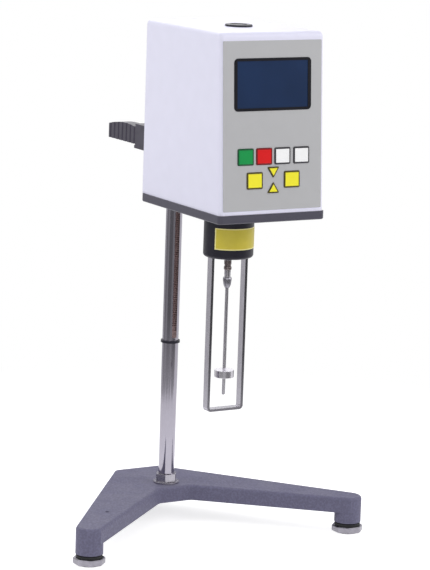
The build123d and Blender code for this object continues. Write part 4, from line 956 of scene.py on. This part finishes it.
@dataclass
class SpindleUnit:
    """The collar with its bare label, the guard and the measuring spindle.

    Each coupling part has a name, a finish and its outline: radius and height, in millimetres.
    """

    label_half: float = math.radians(63)
    label_height: float = 20.5 * MM
    label_above: float = 9.5 * MM
    label_thick: float = 0.12 * MM
    label_gap: float = 0.01 * MM
    border: float = 1.0 * MM
    facets: int = 240
    turned_steps: int = 48
    coupling_bore: float = 1.7 * MM
    coupling_parts: tuple[tuple[str, Finish, tuple[tuple[float, float], ...]], ...] = (
        (
            "coupling_knurl",
            KNURLED,
            ((2.2, 0.0), (2.7, 1.2), (3.4, 2.6), (3.7, 4.5), (4.2, 8.0), (4.1, 9.6), (3.4, 10.6)),
        ),
        ("coupling_waist", SPINDLE_STEEL, ((3.0, 10.6), (2.9, 11.4), (3.1, 13.0), (3.1, 17.4))),
        (
            "coupling_sleeve",
            DARK_STEEL,
            ((3.2, 17.4), (3.7, 18.2), (3.7, 20.0), (3.5, 20.5))
            + ((3.1, 20.8), (3.1, 22.6), (3.5, 22.9), (3.5, 26.5)),
        ),
    )

    def coupling(self) -> None:
        """Turns the coupling's three lengths: knurled nose, bright waist and dark sleeve."""
        axis = middle("coupling_nut")
        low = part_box("coupling_nut")[0].z
        for name, finish, outer in self.coupling_parts:
            radius, up = outer[0]
            bare()
            bpy.ops.mesh.primitive_circle_add(
                vertices=self.turned_steps,
                radius=radius * MM,
                location=(axis.x, axis.y, low + up * MM),
            )

            def steps() -> None:
                """Draws the ring up along the outline, in to the bore and down again."""
                bore = self.coupling_bore / MM
                path = [*outer, (bore, outer[-1][1]), (bore, outer[0][1])]
                for (last, start), (wide, end) in zip(path, path[1:]):
                    bpy.ops.mesh.extrude_region_move(
                        TRANSFORM_OT_translate={"value": (0, 0, (end - start) * MM)}
                    )
                    bpy.ops.transform.resize(
                        value=(wide / last, wide / last, 1),
                        center_override=(axis.x, axis.y, low + end * MM),
                    )
                bpy.ops.mesh.select_all(action="DESELECT")
                bpy.ops.mesh.select_non_manifold()
                bpy.ops.mesh.bridge_edge_loops()
                select_all()
                bpy.ops.mesh.normals_make_consistent(inside=False)

            bpy.context.tool_settings.mesh_select_mode = EDGES
            shape(steps)
            piece = settle(name, finish, "spindle", 35.0)
            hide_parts("coupling_nut")

    def band(self, half: float, low: float, high: float, radius: float) -> None:
        """Adds a strip of cylinder round the collar's front.

        Args:
            half: half the strip's angle.
            low: its lower edge.
            high: its upper edge.
            radius: its inner radius.
        """
        axis = middle("spindle_collar")
        bare()
        bpy.ops.mesh.primitive_cylinder_add(
            vertices=self.facets,
            radius=radius,
            depth=high - low,
            end_fill_type="NOTHING",
            location=(axis.x, axis.y, (low + high) / 2),
        )
        piece = bpy.context.active_object
        bpy.ops.object.transform_apply()

        def behind(side: Polygon) -> bool:
            """Says whether a face is outside the strip's angle."""
            return abs(math.atan2(side.center.x - axis.x, axis.y - side.center.y)) > half

        def steps() -> None:
            """Cuts away the back of the cylinder."""
            pick(piece, behind)
            bpy.ops.mesh.delete(type="FACE")

        shape(steps)
        modify("SOLIDIFY", thickness=self.label_thick, offset=1.0)

    def build(self) -> None:
        """Dresses the unit and wraps the label round the collar."""
        dress(BLACK_SATIN, ("spindle_collar",))
        dress(TURNED, ("pivot_cup",))
        dress(GUARD_STEEL, ("spindle_guard",))
        self.coupling()
        dress(SPINDLE_STEEL, ("measuring_spindle", "spindle_shaft"))
        low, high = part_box("spindle_collar")
        radius = (high.x - low.x) / 2
        foot = low.z + self.label_above
        top = foot + self.label_height
        self.band(self.label_half, foot, top, radius + self.label_gap)
        settle("collar_label_sheet", LABEL_EDGE, "head", 40.0)
        inner = self.label_half - self.border / radius
        self.band(inner, foot + self.border, top - self.border, radius + self.label_thick)
        settle("collar_label_field", LABEL_FIELD, "head", 40.0)


@dataclass
class BubbleLevel:
    """The round level in the top of the housing."""

    bubble: float = 5.0 * MM
    bubble_sunk: float = 1.0 * MM
    bubble_flat: float = 0.65 * MM
    squash: float = 0.28
    ring: float = 7.0 * MM
    ring_line: float = 0.12 * MM
    ring_sunk: float = 0.2 * MM

    def build(self) -> None:
        """Dresses the level and sets the ring and the bubble in its vial."""
        dress(BLACK_SATIN, ("bubble_level",))
        dress(VIAL, ("level_vial",))
        low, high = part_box("level_vial")
        spot = (low + high) / 2
        washer(self.ring / 2, self.ring_line, (spot.x, spot.y, high.z - self.ring_sunk))
        settle("level_ring", OUTLINE, "head")
        bare()
        bpy.ops.mesh.primitive_uv_sphere_add(
            segments=32,
            ring_count=16,
            radius=self.bubble / 2,
            location=(spot.x, spot.y, high.z - self.bubble_sunk),
            scale=(1, 1, self.squash),
        )

        def steps() -> None:
            """Flattens the bubble where it presses on the glass."""
            select_all()
            bpy.ops.mesh.bisect(
                plane_co=(spot.x, spot.y, high.z - self.bubble_flat),
                plane_no=(0, 0, 1),
                use_fill=True,
                clear_outer=True,
            )

        shape(steps)
        settle("level_bubble", LIQUID, "head", 60.0)


@dataclass
class Studio:
    """The camera, the lamps, the world, the floor and the grey cards.

    Each lamp has a name, a place, a size and a power. Each card has a name, its turn about the
    column from the camera's side and its spread, both in degrees, and its level.
    """

    place: Point = (-1.2585, -2.2004, 0.7210)
    yaw: float = math.radians(30.05)
    pitch: float = math.radians(10.54)
    roll: float = math.radians(1.94)
    lens: float = 167.71
    sensor: float = 36.0
    clip: tuple[float, float] = (0.05, 50.0)
    ambient: float = 0.50
    floor_near: float = 0.25
    floor_far: float = 0.75
    floor_lift: float = 0.70
    floor_size: float = 14.0
    cards: tuple[tuple[str, float, float, float], ...] = (
        ("card_far_left", -97.0, 28.0, 0.30),
        ("card_left", -69.0, 28.0, 0.42),
        ("card_near_left", -29.5, 51.0, 0.20),
        ("card_camera", 6.0, 20.0, 0.36),
        ("card_right", 48.0, 64.0, 0.10),
        ("card_rear_left", -128.0, 18.0, 0.36),
        ("card_behind", 180.0, 60.0, 0.34),
    )
    tint: tuple[float, float, float] = (0.80, 0.80, 1.0)
    cool: tuple[str, ...] = ("top_lamp", "card_behind")
    card_away: float = 0.55
    card_height: float = 0.27
    card_fade: float = 0.10
    card_foot: float = 0.55
    lamps: tuple[tuple[str, Point, float, float], ...] = (
        ("key_lamp", (-1.0, 0.25, 0.74), 0.7, 2.7),
        ("edge_lamp", (-1.5, -2.1, 1.1), 0.9, 9.0),
        ("fill_lamp", (1.9, -1.6, 1.3), 1.8, 23.0),
        ("top_lamp", (0.1, 0.2, 2.6), 1.8, 10.0),
        ("back_lamp", (0.6, 2.1, 1.6), 1.6, 10.0),
    )

    def camera(self) -> None:
        """Makes the camera and points it."""
        data = bpy.data.cameras.new("camera")
        data.sensor_width = self.sensor
        data.lens = self.lens
        data.clip_start, data.clip_end = self.clip
        seen = bpy.data.objects.new("camera", data)
        bpy.context.scene.collection.objects.link(seen)
        flat, drop = math.cos(self.pitch), math.sin(self.pitch)
        ahead = Vector((math.sin(self.yaw) * flat, math.cos(self.yaw) * flat, -drop))
        level = Vector((math.cos(self.yaw), -math.sin(self.yaw), 0))
        down = ahead.cross(level)
        right = math.cos(self.roll) * level - math.sin(self.roll) * down
        below = math.sin(self.roll) * level + math.cos(self.roll) * down
        turn = Matrix((right, -below, -ahead)).transposed()
        seen.matrix_world = Matrix.Translation(Vector(self.place)) @ turn.to_4x4()
        bpy.context.scene.camera = seen

    def cast(self, name: str) -> tuple[float, float, float]:
        """Returns the colour of a lamp's or a card's light: cool for some, white for the rest."""
        return self.tint if name in self.cool else (1, 1, 1)

    @staticmethod
    def matt(name: str) -> tuple[bpy.types.Material, Wiring, object, object]:
        """Makes a matt material; returns it, its wiring, its inputs and the coordinates."""
        made = bpy.data.materials.new(name)
        made.use_nodes = True
        wiring = Wiring(made.node_tree)
        shader = made.node_tree.nodes["Principled BSDF"].inputs
        shader["Specular IOR Level"].default_value = 0.0
        return made, wiring, shader, wiring.node("ShaderNodeTexCoord").outputs["Object"]

    def lights(self) -> None:
        """Hangs the soft lamps round the object, each aimed at its middle."""
        aim = (CAD_LOW + CAD_HIGH) / 2
        for name, place, size, power in self.lamps:
            data = bpy.data.lights.new(name, "AREA")
            data.shape = "SQUARE"
            data.size = size
            data.energy = power
            data.color = self.cast(name)
            lamp = bpy.data.objects.new(name, data)
            bpy.context.scene.collection.objects.link(lamp)
            lamp.location = place
            lamp.visible_camera = False
            lamp.rotation_mode = "QUATERNION"
            lamp.rotation_quaternion = (aim - Vector(place)).to_track_quat("-Z", "Y")

    def seen_white(self, wiring: Wiring) -> Socket:
        """Returns 1 for what the camera, a gloss or a glass sees, and 0 for plain light."""
        path = wiring.node("ShaderNodeLightPath").outputs
        gloss = wiring.math("MAXIMUM", path["Is Glossy Ray"], path["Is Transmission Ray"])
        return wiring.math("MAXIMUM", path["Is Camera Ray"], gloss)

    def world(self) -> None:
        """Makes a white world that lights the object at a plain level."""
        world = bpy.data.worlds.new("studio")
        world.use_nodes = True
        bpy.context.scene.world = world
        wiring = Wiring(world.node_tree)
        back = world.node_tree.nodes["Background"]
        back.inputs["Color"].default_value = (1, 1, 1, 1)
        level = wiring.remap(self.seen_white(wiring), (0, 1), (self.ambient, 1.0))
        wiring.feed(back.inputs["Strength"], level)

    def floor(self) -> None:
        """Lays a pale floor with the soft shadow near the object and white farther off."""
        bare()
        bpy.ops.mesh.primitive_plane_add(size=self.floor_size, location=(0, 0, CAD_LOW.z))
        ground = bpy.context.active_object
        ground.name = "floor"
        material, wiring, shader, vector = self.matt("pale_floor")
        away = wiring.node("ShaderNodeVectorMath", {0: vector}, operation="LENGTH").outputs
        far = wiring.remap(away["Value"], (self.floor_near, self.floor_far))
        seen = self.seen_white(wiring)
        blank = wiring.math("MULTIPLY", far, seen)
        wiring.feed(shader["Base Color"], wiring.mix(blank, (0.8, 0.8, 0.8, 1), (0, 0, 0, 1)))
        shader["Roughness"].default_value = 0.9
        shader["Emission Color"].default_value = (1, 1, 1, 1)
        lift = wiring.remap(far, (0.0, 1.0), (self.floor_lift, 1.0))
        wiring.feed(shader["Emission Strength"], wiring.math("MULTIPLY", lift, seen))
        ground.data.materials.append(material)

    def dark_cards(self) -> None:
        """Stands grey cards round the column, which only gloss sees, paler towards the floor."""
        hub = middle("column")
        ahead = math.atan2(self.place[1], self.place[0])
        for name, turn, spread, level in self.cards:
            material, wiring, shader, vector = self.matt(name)
            shader["Base Color"].default_value = (0, 0, 0, 1)
            up = wiring.node("ShaderNodeSeparateXYZ", {0: vector}).outputs[2]
            shade = wiring.remap(up, (0.0, self.card_fade), (self.card_foot, level))
            shader["Emission Color"].default_value = (*self.cast(name), 1)
            wiring.feed(shader["Emission Strength"], shade)
            angle = ahead + math.radians(turn)
            bare()
            upright = (math.pi / 2, 0, angle + math.pi / 2)
            bpy.ops.mesh.primitive_plane_add(size=1, rotation=upright)
            card = bpy.context.active_object
            card.name = name
            width = 2 * self.card_away * math.tan(math.radians(spread / 2))
            card.scale = (width, self.card_height, 1)
            bpy.ops.object.transform_apply(location=False, rotation=True, scale=True)
            card.location = (
                hub.x + self.card_away * math.cos(angle),
                hub.y + self.card_away * math.sin(angle),
                self.card_height / 2,
            )
            bpy.ops.object.transform_apply(location=True, rotation=False, scale=False)
            card.data.materials.append(material)
            card.visible_camera = card.visible_diffuse = card.visible_shadow = False
            card.visible_transmission = False

    def build(self) -> None:
        """Builds the studio."""
        bpy.context.scene.view_settings.view_transform = "Standard"
        self.camera()
        self.lights()
        self.world()
        self.floor()
        self.dark_cards()


def main() -> None:
    """Builds every part of the scene in order."""
    logging.basicConfig(level=logging.INFO, format="%(name)s: %(message)s")
    for part in (
        Studio(), Stand(), LiftCarriage(), Head(), FrontPanel(), SpindleUnit(), BubbleLevel()
    ):
        LOG.info("building %s", type(part).__name__)
        part.build()


if __name__ == "__main__":
    main()
